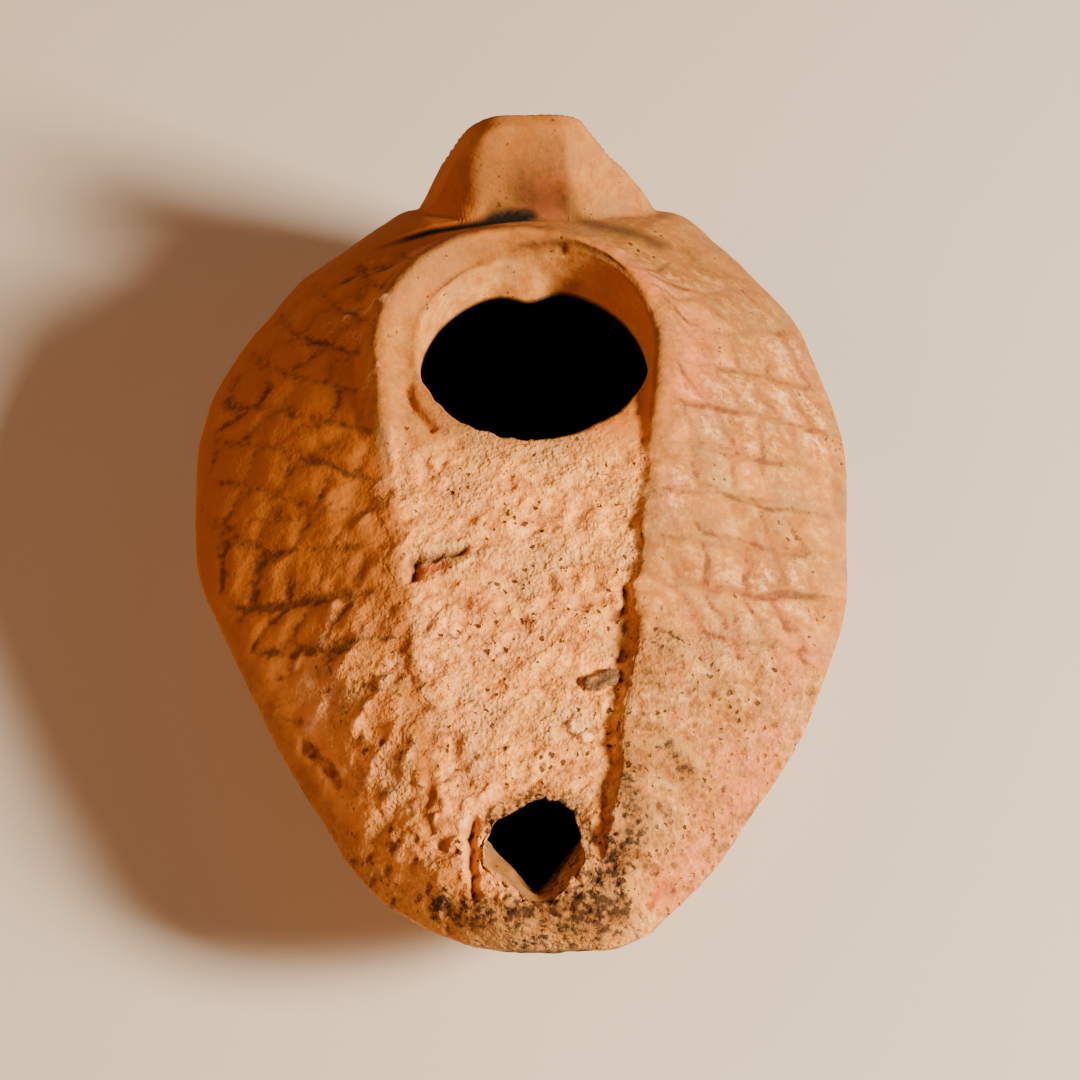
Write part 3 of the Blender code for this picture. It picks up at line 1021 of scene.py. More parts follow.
    def patches(self, marks: tuple[Mark, ...]) -> np.ndarray:
        """Greatest strength of some stain marks, broken up by noise."""
        total = np.max([mark.height * mark.strength(self.x, self.y) for mark in marks], axis=0)
        return self.over * np.clip(total * (1.0 + 0.55 * self.slow[:, 1] + 0.35 * self.rough), 0.0, 1.0)


# ---------------------------------------------------------------------------------------------------
# Shell mesh


@dataclass(frozen=True)
class Fineness:
    """Numbers of mesh columns and rows. Columns must divide by four."""

    nozzle_columns: int = 80
    channel_columns: int = 112
    ring_columns: int = 160
    top_rows: int = 94
    bowl_rows: int = 34
    wall_rows: int = 9
    inner_rows: int = 26


@dataclass
class ShellMesh:
    """Closed mesh of the lamp, gathered as rows of vertices and the bands of faces between them."""

    vertices: list[Points] = field(default_factory=list)
    faces: list[np.ndarray] = field(default_factory=list)
    count: int = 0

    def add(self, points: Points) -> np.ndarray:
        """Adds vertices.

        Args:
            points: the new vertices.

        Returns:
            The numbers of the new vertices.
        """
        self.vertices.append(points)
        numbers = np.arange(self.count, self.count + len(points))
        self.count += len(points)
        return numbers

    def band(self, inner: np.ndarray, outer: np.ndarray) -> None:
        """Faces between two closed rows: quads, or where one row is twice as fine, three triangles a step.

        Args:
            inner: vertex numbers of the row that is nearer the middle.
            outer: vertex numbers of the other row.
        """
        inner, outer = np.append(inner, inner[0]), np.append(outer, outer[0])
        if len(inner) == len(outer):
            quads = np.stack([inner[:-1], outer[:-1], outer[1:], inner[1:]], axis=1)
            self.faces.append(np.concatenate([quads[:, [0, 1, 2]], quads[:, [0, 2, 3]]]))
            return
        fine, coarse = (inner, outer) if len(inner) > len(outer) else (outer, inner)
        corners = ((fine[:-2:2], coarse[:-1], fine[1:-1:2]), (fine[1:-1:2], coarse[:-1], coarse[1:]),
                   (fine[1:-1:2], coarse[1:], fine[2::2]))
        order = [0, 1, 2] if fine is inner else [1, 0, 2]
        self.faces += [np.stack(triangle, axis=1)[:, order] for triangle in corners]

    def strip(self, rows: list[np.ndarray], inwards: bool = False) -> None:
        """Faces between each of some rows, given by their vertex numbers, and the next."""
        for inner, outer in zip(rows, rows[1:]):
            self.band(*((outer, inner) if inwards else (inner, outer)))


@dataclass
class ClayShell:
    """The lamp's one fired clay shell.

    Levels are the places along the lamp where the nozzle's columns end and where the channel's end.
    The sole's rings are each a share of the foot's outline and a height.
    """

    form: LampForm
    fineness: Fineness
    rim_levels: tuple[float, float] = (-33.5, -4.0)
    crest_levels: tuple[float, float] = (-33.5, -1.5)
    inner_rim_levels: tuple[float, float] = (-31.0, -4.0)
    foot_levels: tuple[float, float] = (-15.0, -4.0)
    sole: tuple[tuple[float, float], ...] = ((1.0, 0.35), (0.985, 0.1), (0.96, 0.0), (0.6, 0.0))

    def closed_row(self, right: Points, left: Points) -> Points:
        """Row of points from a right half, front to back, and a left half, back to front."""
        return np.concatenate([right[:-1], left[:-1]])

    def hull_row(self, hull: Hull, levels: tuple[float, float]) -> Points:
        """Row round an outline, with set numbers of columns between the front, two levels and the back.

        Args:
            hull: the outline.
            levels: places along the lamp where the nozzle's and the channel's columns end.

        Returns:
            One plan point for each column.
        """
        fine = self.fineness
        counts = [fine.nozzle_columns, fine.channel_columns, fine.ring_columns]
        halves = []
        for half, order in zip(hull.halves(), (1, -1)):
            path = half[::order]
            stops = np.interp(levels, path[:, 1], lengths_along(path))
            halves.append(even_stops(path, counts, stops)[::order])
        return self.closed_row(*halves)

    def centre_row(self, filling: Hull, wick: Hull) -> Points:
        """Row round the wick hole, along the channel's centre line, and round the filling hole.

        The centre line is passed twice, once on each side, by columns that share their points.

        Args:
            filling: the filling hole's outline.
            wick: the wick hole's outline.

        Returns:
            One plan point for each column.
        """
        fine = self.fineness
        halves = []
        for side, order in ((0, 1), (1, -1)):
            nozzle = wick.halves()[side][::order]
            ring = filling.halves()[side][::order]
            line = np.array([nozzle[-1], ring[0]])
            runs = [even_stops(path, [count]) for path, count in
                    ((nozzle, fine.nozzle_columns), (line, fine.channel_columns), (ring, fine.ring_columns))]
            halves.append(np.concatenate([runs[0][:-1], runs[1][:-1], runs[2]])[::order])
        return self.closed_row(*halves)

    def top_rows(self, centre: Points, crest: Points, rim: Points) -> Points:
        """Rows of the upper skin, from the holes over the crest to the rim.

        Each column runs straight in plan from its centre point to the crest and on to the rim. Its
        points are then shared out evenly by length along the skin.

        Args:
            centre: plan points round the holes.
            crest: plan points along the ring and ridges.
            rim: plan points round the rim.

        Returns:
            Array of rows, columns and x, y, z.
        """
        first = np.linspace(0.0, 1.0, 40, endpoint=False)[:, None, None]
        second = 1.0 - np.linspace(1.0, 0.0, 140)[:, None, None] ** 1.5
        plan = np.concatenate([centre + (crest - centre) * first, crest + (rim - crest) * second])
        height = self.form.skin(plan[..., 0].ravel(), plan[..., 1].ravel()).reshape(plan.shape[:2])
        path = np.concatenate([plan, height[..., None]], axis=2)
        rows = spread_evenly(path, self.fineness.top_rows)
        rows[..., 2] = self.form.skin(rows[..., 0].ravel(), rows[..., 1].ravel()).reshape(rows.shape[:2])
        rows[-1, :, 2] = self.form.rim_height
        return rows

    def bowl_rows(self, rim: Points, foot: Points, low: float, count: int) -> Points:
        """Rows of a lower half mould, from just under the rim to its floor.

        Args:
            rim: plan points round the rim.
            foot: plan points round the foot.
            low: height of the floor.
            count: number of rows.

        Returns:
            Array of rows, columns and x, y, z.
        """
        share = np.cos(np.linspace(0.0, np.pi / 2, count + 1))[1:, None]
        plan = foot + (rim - foot) * share[..., None]
        height = np.broadcast_to(self.form.bowl(share, low), plan.shape[:2])
        return np.concatenate([plan, height[..., None]], axis=2)

    def ceiling_rows(self, rim: Points, edge: Points, middle: Points, count: int) -> Points:
        """Rows of the inner ceiling, from under the holes out to just inside the rim.

        Args:
            rim: plan points just inside the rim.
            edge: plan points round the holes' lower edges.
            middle: plan points along the inner keyhole.
            count: number of rows out from those.

        Returns:
            Array of rows, columns and x, y, z.
        """
        first = np.linspace(0.0, 1.0, 6, endpoint=False)[:, None, None]
        second = np.sin(np.linspace(0.0, np.pi / 2, count))[:, None, None]
        plan = np.concatenate([edge + (middle - edge) * first, middle + (rim - middle) * second])
        share = np.concatenate([first * 0.0, second])[..., 0]
        floor = self.form.floor(plan[..., 1]) - self.form.wall
        height = self.form.rim_height + (floor - self.form.rim_height) * (1.0 - share**1.3) ** 0.7
        return np.concatenate([plan, height[..., None]], axis=2)

    def build(self) -> tuple[ShellMesh, dict[Skin, np.ndarray]]:
        """Gathers all rows into one closed mesh.

        Returns:
            The mesh, and for each part of its skin the numbers of its vertices.
        """
        form, mesh = self.form, ShellMesh()
        centre = self.centre_row(form.filling_hole, form.wick_hole)
        crest = self.hull_row(form.keyhole, self.crest_levels)
        rim = self.hull_row(form.rim, self.rim_levels)
        top = [mesh.add(row) for row in self.top_rows(centre, crest, rim)]
        self.weld_slit(top[0], 1)
        mesh.strip(top)

        rim, foot = rim[::2], self.hull_row(form.foot, self.foot_levels)[::2]
        bowl = self.bowl_rows(rim, foot, form.foot_height, self.fineness.bowl_rows)
        under = [mesh.add(row) for row in bowl]
        under += [mesh.add(self.level_row(foot * share - [0.0, 3.0 * (1.0 - share)], height))
                  for share, height in self.sole]
        under.append(mesh.add(self.level_row(foot * [0.0, 0.5], 0.0)))
        self.weld_slit(under[-1], 2, whole=True)
        mesh.strip([top[-1], *under])

        lower = self.centre_row(form.filling_throat, form.wick_throat)[::4]
        inside = self.inside(mesh, lower)
        walls = self.hole_walls(mesh, top[0], inside[0])
        parts = {Skin.TOP: top, Skin.UNDER: under, Skin.INSIDE: inside, Skin.HOLE: walls}
        return mesh, {skin: np.concatenate(rows) for skin, rows in parts.items()}

    def level_row(self, plan: Points, height: float) -> Points:
        """Row of points at one height."""
        return np.column_stack([plan, np.full(len(plan), height)])

    def weld_slit(self, row: np.ndarray, step: int, whole: bool = False) -> None:
        """Makes the left columns of a row that runs along the centre line use the right ones' points.

        Args:
            row: vertex numbers of the row, changed in place.
            step: how many fine columns one of this row's columns stands for.
            whole: True where the whole row is a slit, not only its stretch along the channel.
        """
        fine = self.fineness
        start = 1 if whole else fine.nozzle_columns // step
        stop = len(row) // 2 if whole else (fine.nozzle_columns + fine.channel_columns) // step + 1
        columns = np.arange(start, stop)
        row[len(row) - columns] = row[columns]

    def inside(self, mesh: ShellMesh, lower: Points) -> list[np.ndarray]:
        """Inner ceiling and inner bowl.

        Args:
            mesh: mesh that the rows are added to.
            lower: plan points round the holes' lower edges.

        Returns:
            Vertex numbers of each row, from the holes' lower edges round to the middle of the floor.
        """
        form, count = self.form, self.fineness.inner_rows
        middle = self.hull_row(form.inner_keyhole, self.crest_levels)[::4]
        rim = self.hull_row(form.inner_rim, self.inner_rim_levels)[::4]
        foot = self.hull_row(form.foot.grown(-1.0), self.foot_levels)[::4]
        rows = [mesh.add(row) for row in self.ceiling_rows(rim, lower, middle, count)]
        self.weld_slit(rows[0], 4)
        rows += [mesh.add(row) for row in self.bowl_rows(rim, foot, form.floor_wall, count)]
        rows += [mesh.add(self.level_row(foot * share, form.floor_wall))
                 for share in ([0.5, 0.7], [0.0, 0.5])]
        self.weld_slit(rows[-1], 4, whole=True)
        mesh.strip(rows, inwards=True)
        return rows

    def hole_walls(self, mesh: ShellMesh, edge: np.ndarray, ceiling: np.ndarray) -> list[np.ndarray]:
        """Walls of the two holes, which run in from the upper edge faster at first than they run down.

        Args:
            mesh: mesh that the rows are added to.
            edge: vertex numbers of the row round the holes' upper edges.
            ceiling: vertex numbers of the ceiling's first row, which lies at their lower edges.

        Returns:
            Vertex numbers of each row.
        """
        fine = self.fineness
        points = np.concatenate(mesh.vertices)
        nozzle, channel = fine.nozzle_columns, fine.nozzle_columns + fine.channel_columns
        walls = []
        for loop in (np.arange(-nozzle, nozzle) % len(edge), np.arange(channel, len(edge) - channel)):
            high = points[edge[loop[::2]]]
            foot = ceiling[loop[::4] // 4]
            corners = np.append(points[foot], points[foot[:1]], axis=0)
            steps, whole_steps = np.arange(len(high)) / 2, np.arange(len(corners))
            low = np.stack([np.interp(steps, whole_steps, column) for column in corners.T], axis=1)
            rows = [edge[loop]]
            for share in np.linspace(0.0, 1.0, fine.wall_rows + 1)[1:-1]:
                rows.append(mesh.add(high + (low - high) * np.array([share**0.8, share**0.8, share])))
            walls += rows[1:]
            mesh.strip([*rows, foot], inwards=True)
        return walls

    def object(self) -> bpy.types.Object:
        """Builds the shell, presses its relief into it and makes the Blender object.

        Returns:
            The object, with one attribute for each kind of stain.
        """
        mesh, parts = self.build()
        points = np.concatenate(mesh.vertices)
        faces = np.concatenate(mesh.faces)
        used, faces = np.unique(faces, return_inverse=True)
        faces = faces.reshape(-1, 3)
        points = points[used]
        skins = {skin: np.isin(used, numbers) for skin, numbers in parts.items()}
        relief = Relief(self.form, points, skins)
        points = points + vertex_normals(points, faces) * relief.height()[:, None] + relief.shift()
        points[:, 2] = np.where(relief.points[:, 2] < 0.01, 0.0, np.maximum(points[:, 2], 0.0))

        data = bpy.data.meshes.new("lamp_shell")
        data.from_pydata((points * MM).tolist(), [], faces.tolist())
        data.polygons.foreach_set("use_smooth", np.ones(len(faces), dtype=bool))
        for name, values in relief.stains().items():
            attribute = data.attributes.new(name, "FLOAT", "POINT")
            attribute.data.foreach_set("value", np.clip(values, 0.0, 1.0).astype(np.float32))
        LOG.info("shell: %d triangles", len(faces))
        return bpy.data.objects.new("lamp_shell", data)


def vertex_normals(points: Points, faces: np.ndarray) -> Points:
    """Unit normal at each point: the sum of its triangles' normals, each weighted by area.

    Args:
        points: the vertices.
        faces: three vertex numbers for each triangle.

    Returns:
        One unit vector for each vertex.
    """
    a, b, c = points[faces[:, 0]], points[faces[:, 1]], points[faces[:, 2]]
    face_normals = np.cross(b - a, c - a)
    corners = faces.ravel()
    spread = np.repeat(face_normals, 3, axis=0)
    total = np.stack([np.bincount(corners, spread[:, axis], len(points)) for axis in range(3)], axis=1)
    return total / np.maximum(np.linalg.norm(total, axis=1, keepdims=True), 1e-12)


# ---------------------------------------------------------------------------------------------------
# Finishes


def linear(hex_colour: str) -> tuple[float, float, float, float]:
    """Linear colour of an sRGB hex value such as #C08040.

    Args:
        hex_colour: the colour, six hex digits after a hash.

    Returns:
        Red, green, blue and an alpha of one.
    """
    values = np.array([int(hex_colour[i:i + 2], 16) for i in (1, 3, 5)]) / 255.0
    values = np.where(values <= 0.04045, values / 12.92, ((values + 0.055) / 1.055) ** 2.4)
    return (*(float(v) for v in values), 1.0)


def add_node(tree: Tree, kind: str, put: dict | None = None, output: int | str = 0,
             **settings: object) -> Socket:
    """Adds a node to a tree.

    Args:
        tree: the material's or world's tree.
        kind: Blender's name of the node's type, without the words that all types start with.
        put: for each input, by name or number, a value or another node's output socket.
        output: name or number of the output that is wanted.
        settings: the node's own settings.

    Returns:
        The output socket.
    """
    node = tree.nodes.new("ShaderNode" + kind)
    for name, value in settings.items():
        setattr(node, name, value)
    for name, value in (put or {}).items():
        if isinstance(value, Socket):
            tree.links.new(value, node.inputs[name])
        else:
            node.inputs[name].default_value = value
    return node.outputs[output]


@dataclass(frozen=True)
class Stain:
    """Colour that lies over the clay where the shell's attribute of the same name is above zero.

    Noise raises and lowers the amount by up to the bite, and what is left between half a softness
    below and above one half fades in, so that a hard stain with a strong bite breaks into specks. The
    more grain there is in the noise, the finer the specks are. Under a least amount the whole stain
    is weaker, so that its noise leaves clean clay alone.
    """

    name: str
    colour: str
    strength: float
    bite: float
    softness: float
    grain: float = 1.6
    least: float = 0.25


@dataclass(frozen=True)
class Tint:
    """Colour of the bare clay that comes in as one noise goes from a first value to a full one.

    Most is its share at the full value. A worn tint shows only where the smooth skin has gone.
    """

    noise: str
    first: float
    full: float
    most: float
    colour: str
    worn: bool = False


@dataclass(frozen=True)
class Cloud:
    """Noise that colours and roughens the clay: its size in millimetres, detail and roughness."""

    size: float
    detail: float
    roughness: float


@dataclass(frozen=True)
class FiredClay:
    """Terracotta: low-fired, unglazed earthenware pressed in two half moulds, worn and long buried.

    Matt and warm, pale buff where the fine slip is left, with grey and red clouds, and browner in each
    dent as painted shade. It has open pores, dark grit and dirt in every hollow, and burnt oil has
    blackened it round the nozzle. Inside it is black, part soot and part painted shade, and an ochre
    stain paints the orange of shade on its shaded sides. Depths in the bump are shares of its distance.
    """

    name: str = "fired_terracotta_mould_pressed"
    body: str = "#C27C36"
    pore: str = "#381A0A"
    tints: tuple[Tint, ...] = (
        Tint("cloud", 0.42, 0.66, 1.0, "#E2A352"),
        Tint("greying", 0.48, 0.66, 0.8, "#B88A56"),
        Tint("reddening", 0.52, 0.7, 0.4, "#C87C4C"),
        # Browner dents: this tint follows the cloud noise that also lowers the bump, so it is painted shade
        # in each dent.
        Tint("cloud", 0.44, 0.28, 1.0, "#7E5226", worn=True),
    )
    stains: tuple[Stain, ...] = (
        # Ochre: mostly painted shade, the orange that shade takes on from warm bounce light.
        Stain("ochre", "#A45C0A", 0.86, 0.4, 1.0),
        Stain("blush", "#BC623A", 0.65, 1.4, 0.7),
        # Pale: lighter pads and grain, and a painted highlight on the tops of the raised lines.
        Stain("pale", "#E8BE90", 0.75, 1.0, 0.7),
        Stain("dirt", "#5A3519", 0.85, 1.1, 0.7),
        Stain("fresh", "#A84E1A", 0.9, 0.8, 0.5),
        Stain("stone", "#463A32", 0.9, 2.2, 0.6),
        Stain("flake", "#DCB482", 0.95, 0.2, 0.5),
        # Film and smoke: soot, and painted shade as well low on the wick hole's right wall.
        Stain("film", "#5A443E", 0.6, 1.4, 1.1),
        Stain("smoke", "#120B09", 0.85, 1.3, 1.0, grain=3.5),
        # Inside: near black, part soot and part painted shade.
        Stain("inside", "#050302", 1.0, 0.0, 1.0),
    )
    roughness: float = 0.92
    shine: float = 0.25
    # The grain and the grit of the real clay are finer than these, which are as coarse as they need to show.
    mottle: Cloud = Cloud(6.0, 3.0, 0.5)
    cloud: Cloud = Cloud(1.8, 4.0, 0.68)
    grain: Cloud = Cloud(0.7, 2.0, 0.6)
    pore_mm: float = 0.9
    pore_ragged_mm: float = 1.1
    pore_strength: float = 0.9
    pore_depth: float = -0.35
    # Noise where a cluster of pores starts and where it is full, with its strength there.
    pore_cluster: tuple[float, float, float] = (0.92, 1.25, 0.4)
    pore_edge: tuple[float, float] = (-0.02, 0.08)
    pores_by_wear: float = 0.16
    grit_mm: float = 0.45
    grit_ragged_mm: float = 0.4
    # Brightness of the darkest and the lightest tone, then the specks' contrast on smooth and on open skin.
    tones: tuple[float, float] = (0.5, 1.2)
    speckle: tuple[float, float] = (0.1, 0.32)
    speckle_from: tuple[float, float] = (0.3, 0.7)
    # Grit outside and in its patches, then the whole bump on smooth and on open skin.
    relief_mm: float = 1.5
    grain_depth: float = 0.25
    grit_patches: tuple[float, float] = (0.4, 0.65)
    grit_depth: tuple[float, float] = (-0.04, -0.3)
    bump_depth: tuple[float, float] = (0.06, 0.42)

    def material(self) -> bpy.types.Material:
        """Builds the node material from object coordinates and the shell's attributes.

        Returns:
            The material.
        """
        material = bpy.data.materials.new(self.name)
        material.use_nodes = True
        tree = material.node_tree
        shader = tree.nodes["Principled BSDF"]
        place = add_node(tree, "TexCoord", output="Object")
        noises = {"place": place}
        for key, noise in (("mottle", self.mottle), ("cloud", self.cloud), ("grain", self.grain)):
            noises[key] = add_node(tree, "TexNoise", {"Vector": place, "Scale": 1.0 / (noise.size * MM),
                                                      "Detail": noise.detail, "Roughness": noise.roughness})
            noises["ragged"] = noises[key].node.outputs["Color"]
            if key == "mottle":
                apart = add_node(tree, "SeparateColor", {0: noises["ragged"]}, output="Green")
                noises["greying"], noises["reddening"] = apart, apart.node.outputs["Blue"]
        noises["open"] = add_node(tree, "Attribute", output="Fac", attribute_name="open")
        colour = self.clay_colour(tree, noises)
        pores = self.pores(tree, noises)
        deep = add_node(tree, "Math", {0: pores, 1: self.pore_strength}, operation="MULTIPLY")
        colour = add_node(tree, "Mix", {SHARE: deep, UNDER: colour, OVER: linear(self.pore)}, MIXED,
                          data_type="RGBA")
        for stain in self.stains:
            colour = self.stained(tree, noises, colour, stain)
        tree.links.new(colour, shader.inputs["Base Color"])
        tree.links.new(self.relief(tree, noises, pores), shader.inputs["Normal"])
        shader.inputs["Roughness"].default_value = self.roughness
        burnt = add_node(tree, "Attribute", output="Fac", attribute_name="smoke")
        shine = add_node(tree, "MapRange", {VALUE: burnt, TO_MIN: self.shine, TO_MAX: 0.0})
        tree.links.new(shine, shader.inputs["Specular IOR Level"])
        return material

    def relief(self, tree: Tree, noises: dict[str, Socket], pores: Socket) -> Socket:
        """Bump of the bare clay: cloud and grain, less grit and pores, all deeper where the skin is open.

        Args:
            tree: the material's tree.
            noises: noise values and what steers them, by name.
            pores: one in a pore and zero beside it.

        Returns:
            Socket of the bumped normal.
        """
        height = add_node(tree, "Math", {0: noises["grain"], 1: self.grain_depth, 2: noises["cloud"]},
                          operation="MULTIPLY_ADD")
        ragged = add_node(tree, "VectorMath", {0: noises["ragged"], 1: (self.grit_ragged_mm * MM,) * 3,
                                               2: noises["place"]}, operation="MULTIPLY_ADD")
        grit = add_node(tree, "TexVoronoi", {"Vector": ragged, "Scale": 1.0 / (self.grit_mm * MM)})
        patch = add_node(tree, "MapRange", {
            VALUE: noises["greying"], FROM_MIN: self.grit_patches[0], FROM_MAX: self.grit_patches[1],
            TO_MIN: self.grit_depth[0], TO_MAX: self.grit_depth[1]})
        height = add_node(tree, "Math", {0: grit, 1: patch, 2: height}, operation="MULTIPLY_ADD")
        height = add_node(tree, "Math", {0: pores, 1: self.pore_depth, 2: height},
                          operation="MULTIPLY_ADD")
        depth = add_node(tree, "MapRange", {VALUE: noises["open"], TO_MIN: self.bump_depth[0],
                                            TO_MAX: self.bump_depth[1]})
        height = add_node(tree, "Math", {0: height, 1: depth}, operation="MULTIPLY")
        return add_node(tree, "Bump", {"Height": height, "Distance": self.relief_mm * MM, "Strength": 1.0})

    def clay_colour(self, tree: Tree, noises: dict[str, Socket]) -> Socket:
        """Colour of the bare clay: the body with its tints, and the tone and the specks over them.

        Args:
            tree: the material's tree.
            noises: noise values and what steers them, by name.

        Returns:
            Socket of the colour.
        """
        colour = linear(self.body)
        for tint in self.tints:
            share = add_node(tree, "MapRange", {VALUE: noises[tint.noise], FROM_MIN: tint.first,
                                                FROM_MAX: tint.full, TO_MAX: tint.most})
            if tint.worn:
                share = add_node(tree, "Math", {0: share, 1: noises["open"]}, operation="MULTIPLY")
            colour = add_node(tree, "Mix", {SHARE: share, UNDER: colour, OVER: linear(tint.colour)}, MIXED,
                              data_type="RGBA")
        tone = add_node(tree, "Attribute", output="Fac", attribute_name="tone")
        tone = add_node(tree, "MapRange", {VALUE: tone, TO_MIN: self.tones[0], TO_MAX: self.tones[1]})
        # The specks follow the grain noise that also raises the bump, so each rise is lighter and each hollow
        # darker: speckle and, in part, painted shade.
        grain = add_node(tree, "MapRange", {VALUE: noises["grain"], FROM_MIN: self.speckle_from[0],
                                            FROM_MAX: self.speckle_from[1], TO_MIN: -1.0})
        contrast = add_node(tree, "MapRange", {VALUE: noises["open"], TO_MIN: self.speckle[0],
                                               TO_MAX: self.speckle[1]})
        grain = add_node(tree, "Math", {0: grain, 1: contrast, 2: 1.0}, operation="MULTIPLY_ADD")
        shade = add_node(tree, "Math", {0: tone, 1: grain}, operation="MULTIPLY")
        return add_node(tree, "VectorMath", {0: colour, "Scale": shade}, operation="SCALE")

    def pores(self, tree: Tree, noises: dict[str, Socket]) -> Socket:
        """Open pores and grit: ragged spots of chance size, in clusters, more where the skin has gone.

        A spot is where the distance to the nearest of many scattered points is less than that point's
        chance value times the cluster's strength.

        Args:
            tree: the material's tree.
            noises: noise values and what steers them, by name.

        Returns:
            Socket that is one in a pore and zero beside it.
        """
        ragged = add_node(tree, "VectorMath", {0: noises["ragged"], 1: (self.pore_ragged_mm * MM,) * 3,
                                               2: noises["place"]}, operation="MULTIPLY_ADD")
        distance = add_node(tree, "TexVoronoi", {"Vector": ragged, "Scale": 1.0 / (self.pore_mm * MM)})
        chance = add_node(tree, "SeparateColor", {0: distance.node.outputs["Color"]})
        both = add_node(tree, "Math", {0: noises["mottle"], 1: noises["cloud"]})
        both = add_node(tree, "Math", {0: noises["open"], 1: self.pores_by_wear, 2: both},
                        operation="MULTIPLY_ADD")
        first, full, most = self.pore_cluster
        cluster = add_node(tree, "MapRange", {VALUE: both, FROM_MIN: first, FROM_MAX: full, TO_MAX: most})
        over = add_node(tree, "Math", {0: cluster, 1: chance}, operation="MULTIPLY")
        over = add_node(tree, "Math", {0: over, 1: distance}, operation="SUBTRACT")
        return add_node(tree, "MapRange", {VALUE: over, FROM_MIN: self.pore_edge[0],
                                           FROM_MAX: self.pore_edge[1]})

    def stained(self, tree: Tree, noises: dict[str, Socket], colour: Socket, stain: Stain) -> Socket:
        """Lays one stain over a colour.

        Args:
            tree: the material's tree.
            noises: noise values and what steers them, by name.
            colour: socket of the colour so far.
            stain: what is laid over it.

        Returns:
            Socket of the new colour.
        """
        amount = add_node(tree, "Attribute", output="Fac", attribute_name=stain.name)
        both = add_node(tree, "Math", {0: noises["grain"], 1: stain.grain, 2: noises["cloud"]},
                        operation="MULTIPLY_ADD")
        ragged = add_node(tree, "Math", {0: both, 1: (1.0 + stain.grain) / 2}, operation="SUBTRACT")
        ragged = add_node(tree, "Math", {0: ragged, 1: stain.bite, 2: amount}, operation="MULTIPLY_ADD")
        share = add_node(tree, "MapRange", {VALUE: ragged, FROM_MIN: 0.5 - stain.softness / 2,
                                            FROM_MAX: 0.5 + stain.softness / 2})
        limit = add_node(tree, "Math", {0: amount, 1: stain.strength / stain.least}, operation="MULTIPLY")
        limit = add_node(tree, "Math", {0: limit, 1: stain.strength}, operation="MINIMUM")
        share = add_node(tree, "Math", {0: share, 1: limit}, operation="MULTIPLY")
        return add_node(tree, "Mix", {SHARE: share, UNDER: colour, OVER: linear(stain.colour)}, MIXED,
                        data_type="RGBA")


@dataclass(frozen=True)
class PaintedBoard:
    """Matt pale paint on a smooth board: an even ground that shows only soft shadows."""

    name: str = "matt_pale_paint"
    colour: str = "#C9C6C1"
    roughness: float = 0.85

    def material(self) -> bpy.types.Material:
        """Plain matt material.

        Returns:
            The material.
        """
        material = bpy.data.materials.new(self.name)
        material.use_nodes = True
        shader = material.node_tree.nodes["Principled BSDF"]
        shader.inputs["Base Color"].default_value = linear(self.colour)
        shader.inputs["Roughness"].default_value = self.roughness
        return material


# ---------------------------------------------------------------------------------------------------
# Studio


@dataclass(frozen=True)
class SoftLight:
    """Square soft box, aimed at the lamp. Azimuth is counted from +X towards +Y, in degrees."""

    name: str
    azimuth: float
    elevation: float
    distance: float
    size: float
    power: float
    colour: str

    def build(self, target: Vector) -> None:
        """Adds the light to the scene.

        Args:
            target: place that the light is aimed at, in metres.
        """
        turn, lift = np.radians(self.azimuth), np.radians(self.elevation)
        away = Vector((np.cos(turn) * np.cos(lift), np.sin(turn) * np.cos(lift), np.sin(lift)))
        data = bpy.data.lights.new(self.name, "AREA")
        data.energy, data.size, data.color = self.power, self.size, linear(self.colour)[:3]
        light = bpy.data.objects.new(self.name, data)
        light.location = target + away * self.distance
        light.rotation_mode = "QUATERNION"
        light.rotation_quaternion = away.to_track_quat("Z", "Y")
        bpy.context.scene.collection.objects.link(light)


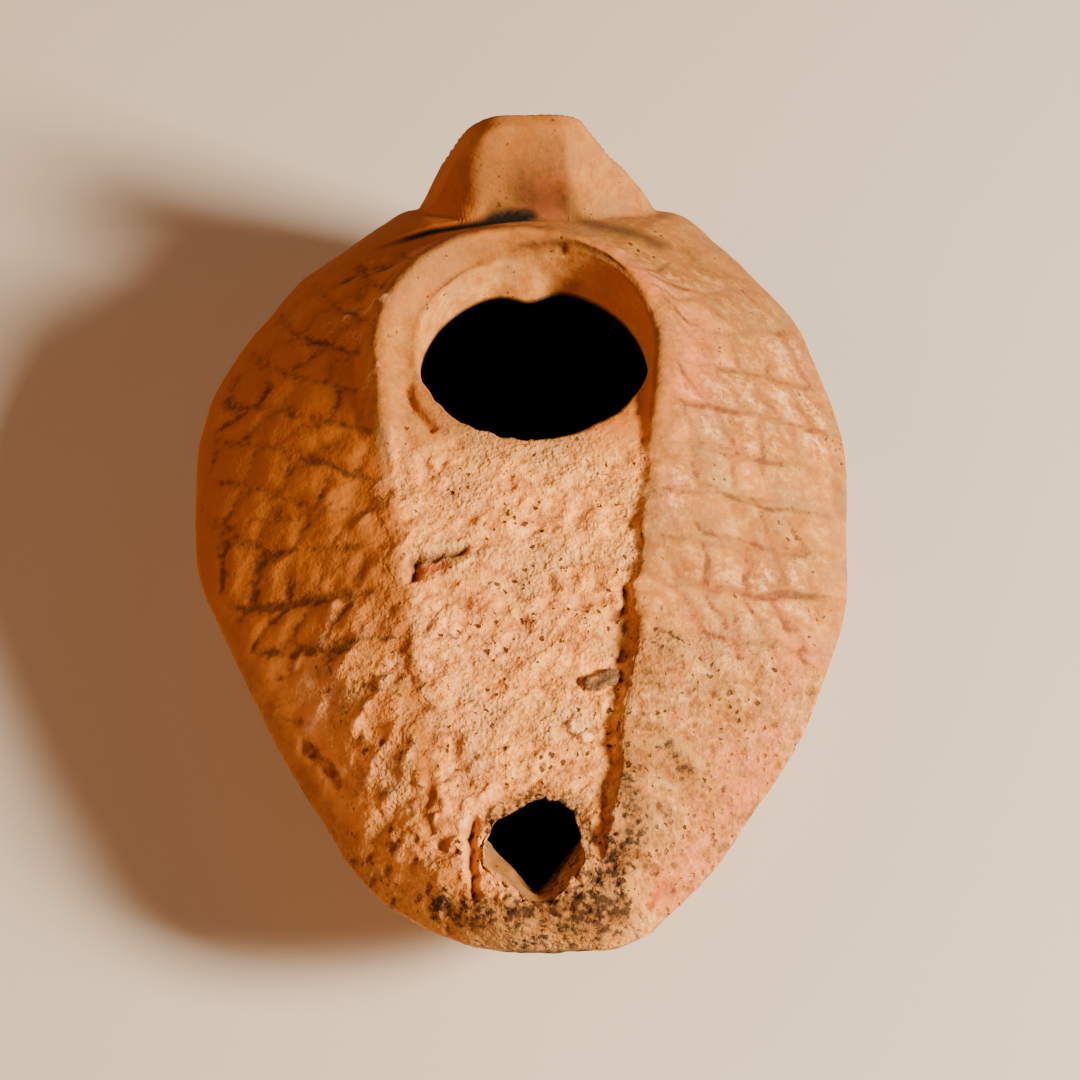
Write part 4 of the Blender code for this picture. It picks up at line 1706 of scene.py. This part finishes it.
@dataclass(frozen=True)
class Studio:
    """Floor, lights, surroundings and camera. Lengths are in metres."""

    floor_half: float = 3.0
    target: tuple[float, float, float] = (0.0018, 0.0, 0.020)
    camera_elevation: float = 54.0
    camera_distance: float = 0.420
    lens: float = 140.1
    sensor: float = 36.0
    surroundings: str = "#FFF4E8"
    surroundings_strength: float = 0.04
    lights: tuple[SoftLight, ...] = (
        SoftLight("key", -20.0, 31.0, 0.60, 0.14, 15.9, "#FFE6C4"),
        SoftLight("warm_fill", 190.0, 38.0, 0.60, 0.40, 2.2, "#FFB276"),
    )
    board: PaintedBoard = PaintedBoard()

    def build(self) -> None:
        """Builds the whole studio."""
        half = self.floor_half
        data = bpy.data.meshes.new("floor")
        data.from_pydata([(-half, -half, 0.0), (half, -half, 0.0), (half, half, 0.0), (-half, half, 0.0)],
                         [], [(0, 1, 2, 3)])
        data.materials.append(self.board.material())
        floor = bpy.data.objects.new("floor", data)
        bpy.context.scene.collection.objects.link(floor)
        for light in self.lights:
            light.build(Vector(self.target))
        self.add_surroundings()
        self.add_camera()

    def add_surroundings(self) -> None:
        """Even, weak light from all round."""
        world = bpy.data.worlds.new("studio")
        world.use_nodes = True
        background = world.node_tree.nodes["Background"]
        background.inputs["Color"].default_value = linear(self.surroundings)
        background.inputs["Strength"].default_value = self.surroundings_strength
        bpy.context.scene.world = world

    def add_camera(self) -> None:
        """Camera that looks down along +Y at the lamp."""
        lift = np.radians(self.camera_elevation)
        back = Vector((0.0, -np.cos(lift), np.sin(lift)))
        data = bpy.data.cameras.new("camera")
        data.lens, data.sensor_width = self.lens, self.sensor
        data.clip_start, data.clip_end = 0.01, 20.0
        camera = bpy.data.objects.new("camera", data)
        camera.location = Vector(self.target) + back * self.camera_distance
        camera.rotation_mode = "QUATERNION"
        camera.rotation_quaternion = back.to_track_quat("Z", "Y")
        bpy.context.scene.collection.objects.link(camera)
        bpy.context.scene.camera = camera


@dataclass
class OilLamp:
    """The lamp: its shell and its finish."""

    form: LampForm = field(default_factory=LampForm)
    fineness: Fineness = field(default_factory=Fineness)
    clay: FiredClay = field(default_factory=FiredClay)

    def build(self) -> bpy.types.Object:
        """Builds and dresses the shell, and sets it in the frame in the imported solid's place.

        Returns:
            The lamp's object.
        """
        lamp = ClayShell(self.form, self.fineness).object()
        lamp.data.materials.append(self.clay.material())
        bpy.context.scene.collection.objects.link(lamp)
        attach(lamp, BODY)
        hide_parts(NODE)
        return lamp


def main() -> None:
    """Builds the lamp and the studio."""
    logging.basicConfig(level=logging.INFO, format="%(name)s: %(message)s")
    lamp = OilLamp().build()
    LOG.info("%s: built and dressed", lamp.name)
    Studio().build()
    LOG.info("studio: built")


if __name__ == "__main__":
    main()
